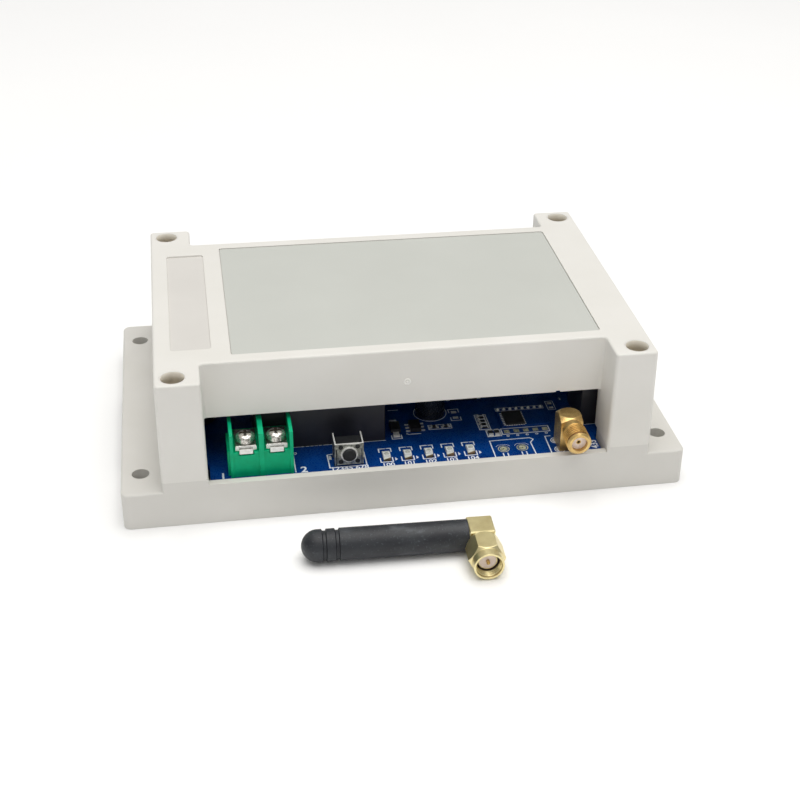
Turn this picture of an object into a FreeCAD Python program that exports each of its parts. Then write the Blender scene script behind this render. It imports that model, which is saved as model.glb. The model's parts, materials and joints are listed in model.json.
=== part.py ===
import FreeCAD, Part
import math
import os

# Remote switch controller in a 145 mm wall and rail box, with its stub antenna lying in front of it.
# Millimetres. X runs right along the box, Y to the back, Z up. The origin is the centre of the four
# flange holes, on the plane that the box stands on.

V = FreeCAD.Vector

# How far a cut runs past the face that it opens
past = 1.0

# Box
box_length = 145.0
box_width = 90.0
box_height = 40.0
flange_length = 10.0
flange_height = 10.0
seam_height = 12.8
sill_drop = 1.4
wall = 2.0
floor_thickness = 1.8
post_length = 11.5
post_depth = 10.0
window_clearance = 1.95
draft = 0.25
tray_corner_radius = 2.0
cover_corner_radius = 1.0
edge_radius = 0.6
small_bevel = 0.15
window_nick_width = 1.2
window_nick_depth = 0.35
window_nick_inset = 12.0
gate_mark_radius = 0.8
gate_mark_height = 0.15
gate_mark_z = 31.0

# Flange holes and cover screws
flange_hole_inset_x = 4.85
flange_hole_inset_y = 9.55
flange_hole_radius = 2.2
flange_boss_wall = 2.0
cover_screw_inset_x = 4.75
cover_screw_inset_y = 4.4
cover_screw_seat = 4.2
cover_screw_radius = 1.5
cover_screw_head_radius = 2.75
cover_screw_head_height = 2.2
cover_screw_tip = 1.0
counterbore_gap = 0.5
cover_boss_wall = 1.2
tray_boss_wall = 2.2
screw_gap = 0.15
thread_fit = 0.06

# Name strip and label on the cover
strip_inset = 4.5
strip_length = 10.0
strip_margin = 7.5
strip_recess = 0.4
label_spacing = 4.6
label_inset = 11.7
label_margin = 3.8
label_recess = 0.5
label_thickness = 0.35
label_gap = 0.2
label_corner_radius = 0.8

# Mounting rail channel and its clips
rail_width = 35.0
rail_gap = 0.4
rail_depth = 4.5
rail_wall = 1.8
rail_slot = 1.3
lip_reach = 1.9
lip_thickness = 1.5
lip_root_drop = 0.9
lip_tip_rise = 0.5
lip_length = 18.0
lip_spacing = 38.0
lip_count = 3
clip_inset = 26.5
clip_width = 14.0
clip_gap = 0.15
clip_travel = 3.0
clip_tail_inset = 0.4
clip_nose_chamfer = 0.7
guide_floor = 0.9
guide_thickness = 1.6
guide_lip = 1.3
peg_radius = 1.5
peg_inset = 15.0
pull_slot_length = 6.0
pull_slot_width = 1.4
pull_slot_inset = 2.6

# Circuit board
board_boss_height = 2.5
board_boss_wall = 1.5
board_thickness = 1.6
board_gap = 0.5
board_screw_inset_x = 3.1
board_screw_inset_y = 3.5
board_screw_radius = 1.5
board_screw_head_radius = 2.7
board_screw_head_height = 1.9
board_screw_skin = 0.6
board_drill_gap = 0.3
pin_gap = 0.15

# Barrier terminal blocks
pole_pitch = 7.62
input_poles = 2
output_poles = 8
input_post_gap = 5.075
block_setback = 1.1
block_depth = 11.4
barrier_thickness = 1.25
end_wall = 0.85
barrier_height = 12.3
face_height = 7.1
seat_step = 0.2
back_step = 2.5
back_drop = 1.1
notch_width = 3.9
notch_depth = 0.8
panel_recess = 0.3
end_rib = 0.6
rib_inset = 1.2
plate_side_gap = 0.56
plate_back_inset = 1.6
plate_fit = 0.1
plate_thickness = 0.8
tab_side_gap = 0.275
tab_foot_gap = 0.4
tab_inset = 0.2
leg_width = 1.2
leg_thickness = 0.8
leg_inset = 1.0
leg_length = 1.4
screw_setback = 3.4
terminal_screw_radius = 1.5
terminal_head_radius = 2.4
terminal_head_height = 2.0
terminal_screw_length = 5.6
terminal_hole_gap = 0.3
washer_side_gap = 0.56
washer_thickness = 0.65
washer_bore_gap = 0.2
lock_ring_radius = 2.1
lock_ring_height = 0.35
cross_width = 0.75
cross_length = 2.9
cross_depth = 1.0

# Learn key
key_x = -15.5
key_setback = 2.6
key_side = 6.2
key_foot = 0.35
key_foot_inset = 0.6
key_plate_thickness = 0.35
key_body_depth = 3.5
key_arm_depth = 5.7
key_arm_gap = 0.25
key_arm_margin = 1.4
key_arm_bridge = 1.6
key_leg_inset = 0.8
key_leg_width = 1.0
key_leg_root = 0.5
key_leg_length = 1.6
key_ring_wall = 0.45
key_ring_height = 0.35
key_plunger_radius = 1.7
key_plunger_reach = 1.0
key_plunger_gap = 0.06
key_plunger_edge = 0.2
key_plunger_root = 2.2
key_travel = 0.25
key_travel_gap = 0.1
key_rivet_radius = 0.6
key_rivet_inset = 0.95
key_rivet_height = 0.15

# Status lamps
lamp_count = 5
lamp_first_x = -5.6
lamp_pitch = 5.5
lamp_setback = 5.1
lamp_length = 4.0
lamp_width = 1.9
lamp_base_height = 0.55
lamp_lens_length = 2.2
lamp_lens_height = 0.5
lamp_lens_taper = 0.2

# Coaxial jack
jack_post_gap = 8.8
jack_setback = 1.3
jack_width = 5.8
jack_depth = 6.2
jack_height = 9.6
jack_axis_height = 6.7
jack_edge = 0.25
jack_crown_slope = 0.75
jack_neck_radius = 2.65
jack_neck_length = 2.6
jack_neck_cone = 0.3
jack_thread_radius = 3.175
jack_thread_length = 5.2
jack_end_chamfer = 0.5
jack_bore_radius = 2.05
jack_bore_depth = 5.0
jack_face_drop = 1.2
jack_contact_radius = 0.65
jack_contact_bore = 0.4
jack_contact_depth = 3.0
jack_pin_radius = 0.5
jack_pin_inset = 0.7
jack_pin_length = 3.2

# Power module and relays
module_right_x = -4.7
module_setback = 13.2
module_length = 34.0
module_width = 20.2
module_height = 15.0
module_edge = 0.6
relay_count = 4
relay_centre_x = -3.0
relay_length = 15.5
relay_width = 19.2
relay_height = 15.5
relay_gap = 1.7
relay_block_gap = 1.4
relay_edge = 0.5

# Radio board
radio_post_gap = 11.0
radio_setback = 14.5
radio_width = 9.4
radio_thickness = 0.6
radio_chip_length = 5.2
radio_chip_width = 6.6
radio_chip_height = 0.55
radio_chip_inset = 1.15
radio_chip_setback = 0.2
radio_pin_count = 8
radio_pin_pitch = 1.7
radio_pin_end = 0.58
radio_pin_inset = 1.0
radio_pin_radius = 0.45
radio_pin_tip_radius = 0.18
radio_pin_height = 0.5

# Chips with legs
leg_pitch = 1.27
leg_reach = 1.1
leg_breadth = 0.42
leg_height = 0.3
leg_hold = 0.2
chip_end = 0.475
chip_lift = 0.1
controller_x = 19.5
controller_y = -6.0
controller_width = 7.5
controller_height = 2.3
controller_legs = 10
driver_x = -30.0
driver_y = 1.6
driver_width = 3.9
driver_height = 1.7
driver_legs = 8
regulator_x = 3.9
regulator_setback = 18.1
regulator_width = 2.9
regulator_height = 1.2
regulator_legs = 3
regulator_leg_pitch = 1.6

# Other parts on the board
diode_x = -1.45
diode_setback = 18.2
diode_width = 2.6
diode_length = 4.2
diode_height = 1.2
diode_lead_width = 1.5
diode_lead_reach = 1.6
diode_lead_height = 0.4
capacitor_x = 9.2
capacitor_setback = 25.1
capacitor_radius = 4.0
capacitor_height = 12.0
capacitor_groove_z = 1.9
capacitor_groove = 0.35
filter_end_gap = 6.1
filter_setback = 13.45
filter_length = 6.0
filter_width = 13.0
filter_height = 12.0
filter_edge = 0.5
fuse_end_gap = 8.0
fuse_y = -11.0
fuse_radius = 4.2
fuse_height = 7.8
fuse_edge = 0.5
varistor_y = 3.0
varistor_radius = 5.2
varistor_thickness = 3.8
varistor_edge = 1.1
varistor_lift = 1.5
varistor_lead_radius = 0.4
varistor_lead_spacing = 5.0
varistor_lead_hold = 3.0
crystal_gap = 1.6
crystal_y = -3.0
crystal_length = 10.2
crystal_width = 4.0
crystal_height = 3.4
crystal_rim = 0.45
crystal_corner_radius = 1.8
chip_height = 0.5
end_cap = 0.45
end_cap_rise = 0.06
row_chip_count = 4
row_chip_pitch = 1.75
row_chip_gap = 4.6
row_chip_setback = 18.3
row_chip_length = 2.0
row_chip_width = 1.1
pair_chip_gap = 1.9
pair_chip_pitch = 1.7
pair_chip_setback = 12.4
pair_chip_length = 2.4
pair_chip_width = 1.2
small_chip_x = 9.0
small_chip_pitch = 3.2
small_chip_setback = 17.6
small_chip_length = 1.7
small_chip_width = 0.9

# Antenna
antenna_x = 13.45
antenna_distance = 20.3
antenna_turn = -1.9
mast_radius = 4.0
mast_length = 40.6
mast_groove_width = 1.1
mast_groove_slope = 0.22
mast_groove_depth = 0.45
mast_groove_first = 5.6
mast_groove_pitch = 3.15
mast_groove_count = 2
mast_spigot_radius = 2.2
mast_spigot_length = 3.0
mast_spigot_gap = 0.03
elbow_width = 6.4
elbow_depth = 6.8
elbow_edge = 0.3
elbow_root = 0.5
neck_step = 0.25
neck_flange_gap = 0.2
neck_flange_length = 0.7
nut_wall = 0.8
nut_gap = 0.7
nut_length = 9.1
nut_collar_drop = 0.28
nut_collar_cone = 0.1
nut_collar_length = 2.3
nut_taper_length = 0.8
nut_rear_edge = 0.15
nut_rear_slope = 0.6
nut_rear_wall = 3.6
nut_fit = 0.06
nut_thread_gap = 0.025
plug_sleeve_radius = 2.3
plug_sleeve_wall = 0.22
plug_recess = 2.3
plug_depth = 3.0
plug_pin_radius = 0.46
plug_pin_tip_radius = 0.14
plug_pin_reach = 1.3

# Sizes that follow from the ones above: box, posts and screws
half_length = box_length / 2
half_width = box_width / 2
half_cover = half_length - flange_length
inner_x = half_cover - wall
inner_y = half_width - wall
post_inner_x = half_cover - post_length
recess_y = half_width - post_depth
sill_height = seam_height - sill_drop
floor_top = rail_depth + floor_thickness
flange_hole_x = half_length - flange_hole_inset_x
flange_hole_y = half_width - flange_hole_inset_y
cover_screw_x = half_cover - cover_screw_inset_x
cover_screw_y = half_width - cover_screw_inset_y
counterbore_radius = cover_screw_head_radius + counterbore_gap
counterbore_seat = seam_height + cover_screw_seat
cover_screw_length = counterbore_seat - cover_screw_tip

# Rail channel and clips
channel_y = rail_width / 2 + rail_gap
lip_top = rail_depth - rail_slot
lip_bottom = lip_top - lip_thickness
clip_x = half_cover - clip_inset
clip_bottom = guide_floor + clip_gap
clip_top = rail_depth - clip_gap
peg_y = half_width - peg_inset

# Circuit board and what stands along its front and back edges
board_bottom = floor_top + board_boss_height
board_top = board_bottom + board_thickness
board_end = inner_x - board_gap
board_edge = inner_y - board_gap
board_bay = recess_y - board_gap
board_screw_x = board_end - board_screw_inset_x
board_screw_y = board_bay - board_screw_inset_y
board_screw_length = board_top - rail_depth - board_screw_skin
block_face_y = board_edge - block_setback
window_top = board_top + barrier_height + window_clearance
key_plate_y = key_setback - board_edge
lamp_y = lamp_setback - board_edge
jack_front_y = jack_setback - board_edge

# Terminal block
pocket = pole_pitch - barrier_thickness
block_end = end_wall - barrier_thickness / 2
seat_height = face_height + seat_step
notch_bottom = face_height - notch_depth
plate_top = seat_height + plate_thickness
plate_width = pocket - 2 * plate_side_gap
washer_side = pocket - 2 * washer_side_gap
tab_width = notch_width - 2 * tab_side_gap
tab_back = tab_inset + plate_thickness
plate_back = block_depth - plate_back_inset
leg_front = plate_back - leg_inset - leg_thickness
input_block_x = input_post_gap + end_rib + input_poles * pole_pitch / 2 + block_end - post_inner_x

# Learn key, jack and radio board
key_height = key_foot + key_side / 2 + board_top
key_ring_radius = key_plunger_radius + key_ring_wall
jack_x = post_inner_x - jack_post_gap
jack_axis_z = board_top + jack_axis_height
jack_end_y = jack_front_y - jack_neck_length - jack_thread_length
radio_length = (radio_pin_count - 1) * radio_pin_pitch + 2 * radio_pin_end
radio_x = post_inner_x - radio_post_gap - radio_length / 2
radio_y = radio_setback + radio_width / 2 - board_edge
radio_left = radio_x - radio_length / 2

# Antenna
antenna_y = -half_width - antenna_distance
nut_bore_radius = jack_thread_radius + nut_thread_gap
nut_across_flats = 2 * (nut_bore_radius + nut_wall)
neck_flange_radius = nut_bore_radius - neck_flange_gap
neck_radius = neck_flange_radius - neck_step
nut_front = -elbow_depth / 2 - nut_gap - nut_length
plug_face = nut_front + plug_recess
antenna_axis_z = max(mast_radius, nut_across_flats / 2)


def block(x0, x1, y0, y1, z0, z1):
    """Box between two corners, given in either order along X and Y."""
    x0, x1 = sorted((x0, x1))
    y0, y1 = sorted((y0, y1))
    return Part.makeBox(x1 - x0, y1 - y0, z1 - z0, V(x0, y0, z0))


def slab(length, width, height, x, y, z):
    """Box centred on x and y and standing on z."""
    return Part.makeBox(length, width, height, V(x - length / 2, y - width / 2, z))


def rod(radius, length, x, y, z, direction=V(0, 0, 1)):
    """Round bar from a point along a direction."""
    return Part.makeCylinder(radius, length, V(x, y, z), direction)


def fused(shapes):
    """One clean solid from shapes that touch or overlap."""
    return shapes[0].fuse(shapes[1:]).removeSplitter()


def group(shapes):
    """Separate solids kept together in one node."""
    return Part.makeCompound(shapes)


def face_of(points):
    """Flat face inside straight lines through the points."""
    return Part.Face(Part.makePolygon(points + [points[0]]))


def turned(profile, axis_point, axis):
    """Solid of revolution of a closed profile."""
    return face_of(profile).revolve(axis_point, axis, 360)


def edges_where(shape, test):
    """Straight edges whose centre and direction pass a test."""
    found = []
    for edge in shape.Edges:
        if len(edge.Vertexes) < 2:
            continue
        chord = edge.Vertexes[1].Point - edge.Vertexes[0].Point
        if abs(chord.Length - edge.Length) > 0.0001:
            continue
        if test(edge.CenterOfMass, chord.normalize()):
            found.append(edge)
    return found


def round_upright(shape, radius):
    """Round the edges that stand nearly upright."""
    return shape.makeFillet(radius, edges_where(shape, lambda centre, way: abs(way.z) > 0.98))


def top_edges(shape):
    """Edges that lie in the highest plane of a shape."""
    top = max(vertex.Z for vertex in shape.Vertexes)
    found = []
    for edge in shape.Edges:
        heights = [vertex.Z for vertex in edge.Vertexes] + [edge.CenterOfMass.z]
        if min(heights) > top - 0.001:
            found.append(edge)
    return found


def round_top(shape, radius):
    """Round every edge that lies in the top face."""
    return shape.makeFillet(radius, top_edges(shape))


def corners(x, y):
    """The four mirrored places of one point."""
    return [(sx * x, sy * y) for sx in (-1, 1) for sy in (-1, 1)]


def spread(count, pitch):
    """Offsets of evenly spaced places, from their middle."""
    return [(i - (count - 1) / 2) * pitch for i in range(count)]


def tray_shell():
    """Flange plate and raised tray, hollow above the floor, with solid corners under the posts."""
    plate = block(-half_length, half_length, -half_width, half_width, 0, flange_height)
    plate = round_top(round_upright(plate, tray_corner_radius), edge_radius)
    rim = block(-half_cover, half_cover, -half_width, half_width, 0, seam_height)
    rim = round_upright(rim, cover_corner_radius)
    hollow = block(-inner_x, inner_x, -inner_y, inner_y, floor_top, seam_height + past)
    hollow = hollow.cut([block(sx * post_inner_x, sx * half_cover, sy * recess_y, sy * half_width,
                               floor_top, seam_height) for sx, sy in corners(1, 1)])
    sills = block(-post_inner_x, post_inner_x, -half_width - past, half_width + past,
                  sill_height, seam_height + past)
    return plate.fuse(rim).cut([hollow, sills])


def underside_pockets():
    """Hollows under the tray floor and under the two flanges."""
    hollows = []
    channel_wall_y = channel_y + rail_wall
    for side in (-1, 1):
        near = side * channel_wall_y
        far = side * inner_y
        hollows.append(block(-inner_x, inner_x, near, far, 0, rail_depth))
        for end in (-1, 1):
            hollows.append(block(end * half_cover, end * (half_length - wall), near, far,
                                 0, flange_height - wall))
    return hollows


def rail_channel():
    """Channel for the mounting rail, open at both ends, less the fixed lips."""
    channel = block(-half_length - past, half_length + past, -channel_y, channel_y, 0, rail_depth)
    lips = []
    for x in spread(lip_count, lip_spacing):
        start = x - lip_length / 2
        profile = [
            V(start, -channel_y, lip_bottom - lip_root_drop),
            V(start, lip_reach - channel_y, lip_bottom + lip_tip_rise),
            V(start, lip_reach - channel_y, lip_top),
            V(start, -channel_y, lip_top),
        ]
        lips.append(face_of(profile).extrude(V(lip_length, 0, 0)))
    return channel.cut(lips)


def clip_peg(x):
    """Stop peg in the slot of one rail clip."""
    return rod(peg_radius, rail_depth - clip_bottom, x, peg_y, clip_bottom)


def clip_guides(x):
    """Ribs, lips and stop peg that hold one rail clip."""
    guides = []
    half = clip_width / 2 + clip_gap
    start = channel_y + rail_wall / 2
    end = half_width - wall / 2
    for side in (-1, 1):
        outer = x + side * (half + guide_thickness)
        guides.append(block(x + side * half, outer, start, end, 0, rail_depth))
        guides.append(block(x + side * (half - guide_lip), outer, start, end, 0, guide_floor))
    guides.append(clip_peg(x))
    return guides


def clip_window(x):
    """Way for one rail clip through the channel wall and the rear wall."""
    half = clip_width / 2 + clip_gap
    window = block(x - half, x + half, channel_y - past, half_width + past, guide_floor, rail_depth)
    return window.cut(clip_peg(x))


def make_base_tray():
    tray = tray_shell().cut(underside_pockets())
    solids = []
    for x, y in corners(flange_hole_x, flange_hole_y):
        solids.append(rod(flange_hole_radius + flange_boss_wall, flange_height - wall, x, y, 0))
    for x, y in corners(cover_screw_x, cover_screw_y):
        solids.append(rod(cover_screw_radius + tray_boss_wall, floor_top, x, y, 0))
    for x, y in corners(board_screw_x, board_screw_y):
        solids.append(rod(board_screw_radius + board_boss_wall, board_boss_height, x, y, floor_top))
    for x in (-clip_x, clip_x):
        solids.extend(clip_guides(x))
    outer = block(-half_length, half_length, -half_width, half_width, 0, seam_height)
    tray = tray.fuse([solid.common(outer) for solid in solids])
    cuts = [rail_channel(), clip_window(-clip_x), clip_window(clip_x)]
    for x, y in corners(flange_hole_x, flange_hole_y):
        cuts.append(rod(flange_hole_radius, flange_height + 2 * past, x, y, -past))
    for x, y in corners(cover_screw_x, cover_screw_y):
        cuts.append(rod(cover_screw_radius + thread_fit, seam_height + past, x, y, 0))
    for x, y in corners(board_screw_x, board_screw_y):
        bottom = board_top - board_screw_length - board_drill_gap
        cuts.append(rod(board_screw_radius + thread_fit, board_bottom + past - bottom, x, y, bottom))
    return tray.cut(cuts).removeSplitter()


def cover_outline(inset, z):
    """Closed outline of the cover: a box with a bay in each long side."""
    x = half_cover - inset
    y = half_width - inset
    px = post_inner_x + inset
    ry = recess_y - inset
    quarter = [(x, y), (px, y), (px, ry)]
    points = [V(a, b, z) for a, b in quarter]
    points += [V(-a, b, z) for a, b in reversed(quarter)]
    points += [V(-a, -b, z) for a, b in quarter]
    points += [V(a, -b, z) for a, b in reversed(quarter)]
    return Part.makePolygon(points + [points[0]])


def cover_hollows():
    """Inner space of the cover, with a pocket in each post and the two wiring windows."""
    roof = box_height - wall
    bay_y = recess_y - wall
    low = seam_height - past
    hollows = [block(-inner_x, inner_x, -bay_y, bay_y, low, roof)]
    for sx, sy in corners(1, 1):
        hollows.append(block(sx * (post_inner_x + wall), sx * inner_x, sy * (bay_y - past), sy * inner_y,
                             low, roof))
    hollows.append(block(-post_inner_x, post_inner_x, -recess_y - past, recess_y + past, low, window_top))
    nick = post_inner_x - window_nick_inset
    for side in (-1, 1):
        hollows.append(block(nick, nick + window_nick_width, side * (bay_y - past), side * (recess_y + past),
                             window_top - past, window_top + window_nick_depth))
    return hollows


def label_outline(x0, x1, half, recess, height):
    """Plate with rounded corners, its foot a recess's depth below the top of the cover."""
    foot = box_height - recess
    return round_upright(block(x0, x1, -half, half, foot, foot + height), label_corner_radius)


def label_edges():
    """Left and right edge of the label's recess."""
    strip_end = strip_inset + strip_length - half_cover
    return strip_end + label_spacing, half_cover - label_inset


def make_top_cover():
    outer = Part.makeLoft([cover_outline(0, seam_height), cover_outline(draft, box_height)], True, True)
    outer = round_top(round_upright(outer, cover_corner_radius), edge_radius)
    cover = outer.cut(cover_hollows())
    tower_height = box_height - wall / 2 - seam_height
    towers = [rod(counterbore_radius + cover_boss_wall, tower_height, x, y, seam_height)
              for x, y in corners(cover_screw_x, cover_screw_y)]
    cover = cover.fuse([tower.common(outer) for tower in towers])
    left, right = label_edges()
    strip_x = strip_inset - half_cover
    cuts = [label_outline(left, right, recess_y - label_margin, label_recess, label_recess + past),
            label_outline(strip_x, strip_x + strip_length, recess_y - strip_margin, strip_recess,
                          strip_recess + past)]
    for x, y in corners(cover_screw_x, cover_screw_y):
        cuts.append(rod(counterbore_radius, box_height, x, y, counterbore_seat))
        cuts.append(rod(cover_screw_radius + screw_gap, box_height, x, y, seam_height - past))
    mark_y = draft / 2 - recess_y - gate_mark_height
    mark = rod(gate_mark_radius, wall / 2, 0, mark_y, gate_mark_z, V(0, 1, 0))
    return cover.cut(cuts).fuse(mark).removeSplitter()


def make_front_label():
    left, right = label_edges()
    return label_outline(left + label_gap, right - label_gap, recess_y - label_margin - label_gap,
                         label_recess, label_thickness)


def pan_screw(radius, length, head_radius, head_height, ring_radius=0.0, ring_height=0.0):
    """Pan head screw hanging from the underside of its head at zero, with a lock ring if it has one."""
    tip = radius / 2
    shoulder_z = head_height * 0.55
    low = V(0, 0, -length)
    points = [low, V(radius - tip / 2, 0, -length), V(radius, 0, tip - length)]
    if ring_radius > 0:
        points += [V(radius, 0, -ring_height), V(ring_radius, 0, -ring_height), V(ring_radius, 0, 0)]
    else:
        points += [V(radius, 0, 0)]
    points += [V(head_radius, 0, 0), V(head_radius, 0, shoulder_z)]
    lines = [Part.LineSegment(a, b).toShape() for a, b in zip(points, points[1:])]
    crown = head_height - shoulder_z
    reach = math.sqrt(0.5)
    middle = V(head_radius * reach, 0, shoulder_z + crown * reach)
    top = V(0, 0, head_height)
    lines.append(Part.Arc(points[-1], middle, top).toShape())
    lines.append(Part.LineSegment(top, low).toShape())
    return Part.Face(Part.Wire(lines)).revolve(V(0, 0, 0), V(0, 0, 1), 360)


def with_cross(screw, head_height):
    """Cut the cross-shaped driver recess into a screw head."""
    z = head_height - cross_depth
    along = slab(cross_length, cross_width, cross_depth + past, 0, 0, z)
    across = slab(cross_width, cross_length, cross_depth + past, 0, 0, z)
    return screw.cut(along.fuse(across))


def make_cover_screws():
    screw = pan_screw(cover_screw_radius, cover_screw_length, cover_screw_head_radius,
                      cover_screw_head_height)
    screw = with_cross(screw, cover_screw_head_height)
    places = corners(cover_screw_x, cover_screw_y)
    return group([screw.translated(V(x, y, counterbore_seat)) for x, y in places])


def make_board_screws():
    screw = pan_screw(board_screw_radius, board_screw_length, board_screw_head_radius,
                      board_screw_head_height)
    screw = with_cross(screw, board_screw_head_height)
    places = corners(board_screw_x, board_screw_y)
    return group([screw.translated(V(x, y, board_top)) for x, y in places])


def barrier_block(poles):
    """Terminal body with its front face on y = 0 and its foot on z = 0."""
    half = poles * pole_pitch / 2 + block_end
    body = block(-half, half, 0, block_depth, 0, barrier_height)
    cuts = []
    over_seat = seat_height + plate_fit
    behind_tab = tab_back + plate_fit
    for x in spread(poles, pole_pitch):
        cuts.append(block(x - pocket / 2, x + pocket / 2, -past, block_depth + past, seat_height,
                          barrier_height + past))
        cuts.append(block(x - pocket / 2, x + pocket / 2, -past, behind_tab, face_height, over_seat))
        cuts.append(block(x - notch_width / 2, x + notch_width / 2, -past, behind_tab,
                          notch_bottom, over_seat))
        cuts.append(block(x - pocket / 2, x + pocket / 2, -past, panel_recess, -past, seat_height))
        cuts.append(rod(terminal_screw_radius + terminal_hole_gap, seat_height, x, screw_setback,
                        seat_height - terminal_screw_length))
        cuts.append(slab(leg_width + 2 * plate_fit, leg_thickness + 2 * plate_fit,
                         over_seat + past, x, leg_front + leg_thickness / 2, -past))
    cuts.append(block(-half - past, half + past, block_depth - back_step, block_depth + past,
                      barrier_height - back_drop, barrier_height + past))
    rib = block(-half - end_rib, -half, rib_inset, block_depth - rib_inset, 0, face_height)
    return body.cut(cuts).fuse(rib).removeSplitter()


def contact_plate():
    """Bent contact plate of one pole, in the frame of its block."""
    flat = block(-plate_width / 2, plate_width / 2, tab_back, plate_back, seat_height, plate_top)
    tab = block(-tab_width / 2, tab_width / 2, tab_inset, tab_back, notch_bottom + tab_foot_gap, plate_top)
    leg = block(-leg_width / 2, leg_width / 2, leg_front, leg_front + leg_thickness,
                -board_thickness - leg_length, seat_height)
    thread = rod(terminal_screw_radius + thread_fit, plate_thickness + 2 * past, 0, screw_setback,
                 seat_height - past)
    return fused([flat, tab, leg]).cut(thread)


def wire_washer():
    """Square washer with bevelled top edges, resting on z = 0."""
    washer = slab(washer_side, washer_side, washer_thickness, 0, 0, 0)
    washer = washer.makeChamfer(small_bevel, top_edges(washer))
    return washer.cut(rod(terminal_screw_radius + washer_bore_gap, washer_thickness + 2 * past, 0, 0, -past))


def terminal_screw():
    """Terminal screw with its lock ring, the ring resting on z = 0."""
    screw = pan_screw(terminal_screw_radius, terminal_screw_length + lock_ring_height,
                      terminal_head_radius, terminal_head_height, lock_ring_radius, lock_ring_height)
    return with_cross(screw, terminal_head_height).translated(V(0, 0, lock_ring_height))


def on_front(shape):
    """From a block's frame to the front edge of the board."""
    return shape.translated(V(input_block_x, -block_face_y, board_top))


def on_back(shape):
    """From a block's frame to the back edge of the board, facing back."""
    back = shape.copy()
    back.rotate(V(0, 0, 0), V(0, 0, 1), 180)
    return back.translated(V(0, block_face_y, board_top))


def make_terminals(name, poles, placed):
    """One terminal block with its plates, washers and screws."""
    nodes = {name + "_terminal_body": placed(barrier_block(poles))}
    places = spread(poles, pole_pitch)
    plate = contact_plate()
    nodes[name + "_terminal_plates"] = group([placed(plate.translated(V(x, 0, 0))) for x in places])
    for i, x in enumerate(places, 1):
        washer = wire_washer().translated(V(x, screw_setback, plate_top))
        screw = terminal_screw().translated(V(x, screw_setback, plate_top + washer_thickness))
        nodes["%s_washer_%d" % (name, i)] = placed(washer)
        nodes["%s_screw_%d" % (name, i)] = placed(screw)
    return nodes


def jack_pin_places():
    """Four ground pins near the corners of the jack."""
    reach = jack_width / 2 - jack_pin_inset
    middle = jack_front_y + jack_depth / 2
    return [(jack_x + dx, middle + dy) for dx, dy in corners(reach, reach)]


def key_leg_places():
    """Four legs of the learn key's bracket."""
    reach = key_side / 2 + key_arm_gap + key_plate_thickness / 2
    ends = (key_plate_y + key_leg_inset, key_plate_y + key_arm_depth - key_leg_inset)
    return [(key_x + side * reach, y) for side in (-1, 1) for y in ends]


def make_circuit_board():
    long_way = block(-board_end, board_end, -board_bay, board_bay, board_bottom, board_top)
    short_x = post_inner_x - board_gap
    short_way = block(-short_x, short_x, -board_edge, board_edge, board_bottom, board_top)
    drill = board_thickness + 2 * past
    low = board_bottom - past
    cuts = [rod(board_screw_radius + screw_gap, drill, x, y, low)
            for x, y in corners(board_screw_x, board_screw_y)]
    slot = slab(leg_width + 2 * pin_gap, leg_thickness + 2 * pin_gap, drill,
                0, leg_front + leg_thickness / 2, low - board_top)
    for poles, placed in ((input_poles, on_front), (output_poles, on_back)):
        cuts.extend(placed(slot.translated(V(x, 0, 0))) for x in spread(poles, pole_pitch))
    for x, y in jack_pin_places():
        cuts.append(rod(jack_pin_radius + pin_gap, drill, x, y, low))
    for x, y in key_leg_places():
        cuts.append(slab(key_plate_thickness + 2 * pin_gap, key_leg_width + 2 * pin_gap, drill, x, y, low))
    return fused([long_way, short_way]).cut(cuts)


def make_learn_key_body():
    half = key_side / 2
    foot_half = half - key_foot_inset
    z = board_top + key_foot
    front = key_plate_y + key_plate_thickness
    back = front + key_body_depth
    body = block(key_x - half, key_x + half, front, back, z, z + key_side)
    foot = block(key_x - foot_half, key_x + foot_half, front + key_foot_inset, back - key_foot_inset,
                 board_top, z)
    bore = rod(key_plunger_radius + key_plunger_gap, key_plunger_root + key_travel + key_travel_gap,
               key_x, key_plate_y, key_height, V(0, 1, 0))
    return fused([body, foot]).cut(bore)


def make_learn_key_bracket():
    half = key_side / 2
    z = board_top + key_foot
    top = z + key_side
    bridge = top - key_arm_bridge
    face = key_plate_y + key_plate_thickness
    parts = [block(key_x - half, key_x + half, key_plate_y, face, z, top)]
    for side in (-1, 1):
        near = key_x + side * (half + key_arm_gap)
        far = near + side * key_plate_thickness
        arm = block(near, far, key_plate_y, key_plate_y + key_arm_depth, z, top)
        window = block(near - side * past, far + side * past, key_plate_y + key_arm_margin,
                       key_plate_y + key_arm_depth - key_arm_margin, z - past, bridge)
        parts.append(arm.cut(window))
        parts.append(block(key_x + side * (half - key_plate_thickness), far, key_plate_y, face, bridge, top))
    leg_end = board_bottom - key_leg_length
    leg_height = z + key_leg_root - leg_end
    for x, y in key_leg_places():
        parts.append(slab(key_plate_thickness, key_leg_width, leg_height, x, y, leg_end))
    parts.append(rod(key_ring_radius, key_ring_height, key_x, key_plate_y - key_ring_height, key_height,
                     V(0, 1, 0)))
    reach = half - key_rivet_inset
    for dx, dz in corners(reach, reach):
        parts.append(rod(key_rivet_radius, key_rivet_height + key_plate_thickness / 2, key_x + dx,
                         key_plate_y - key_rivet_height, key_height + dz, V(0, 1, 0)))
    bore = rod(key_plunger_radius + key_plunger_gap, key_ring_height + key_plate_thickness + 2 * past,
               key_x, key_plate_y - key_ring_height - past, key_height, V(0, 1, 0))
    return fused(parts).cut(bore)


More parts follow.
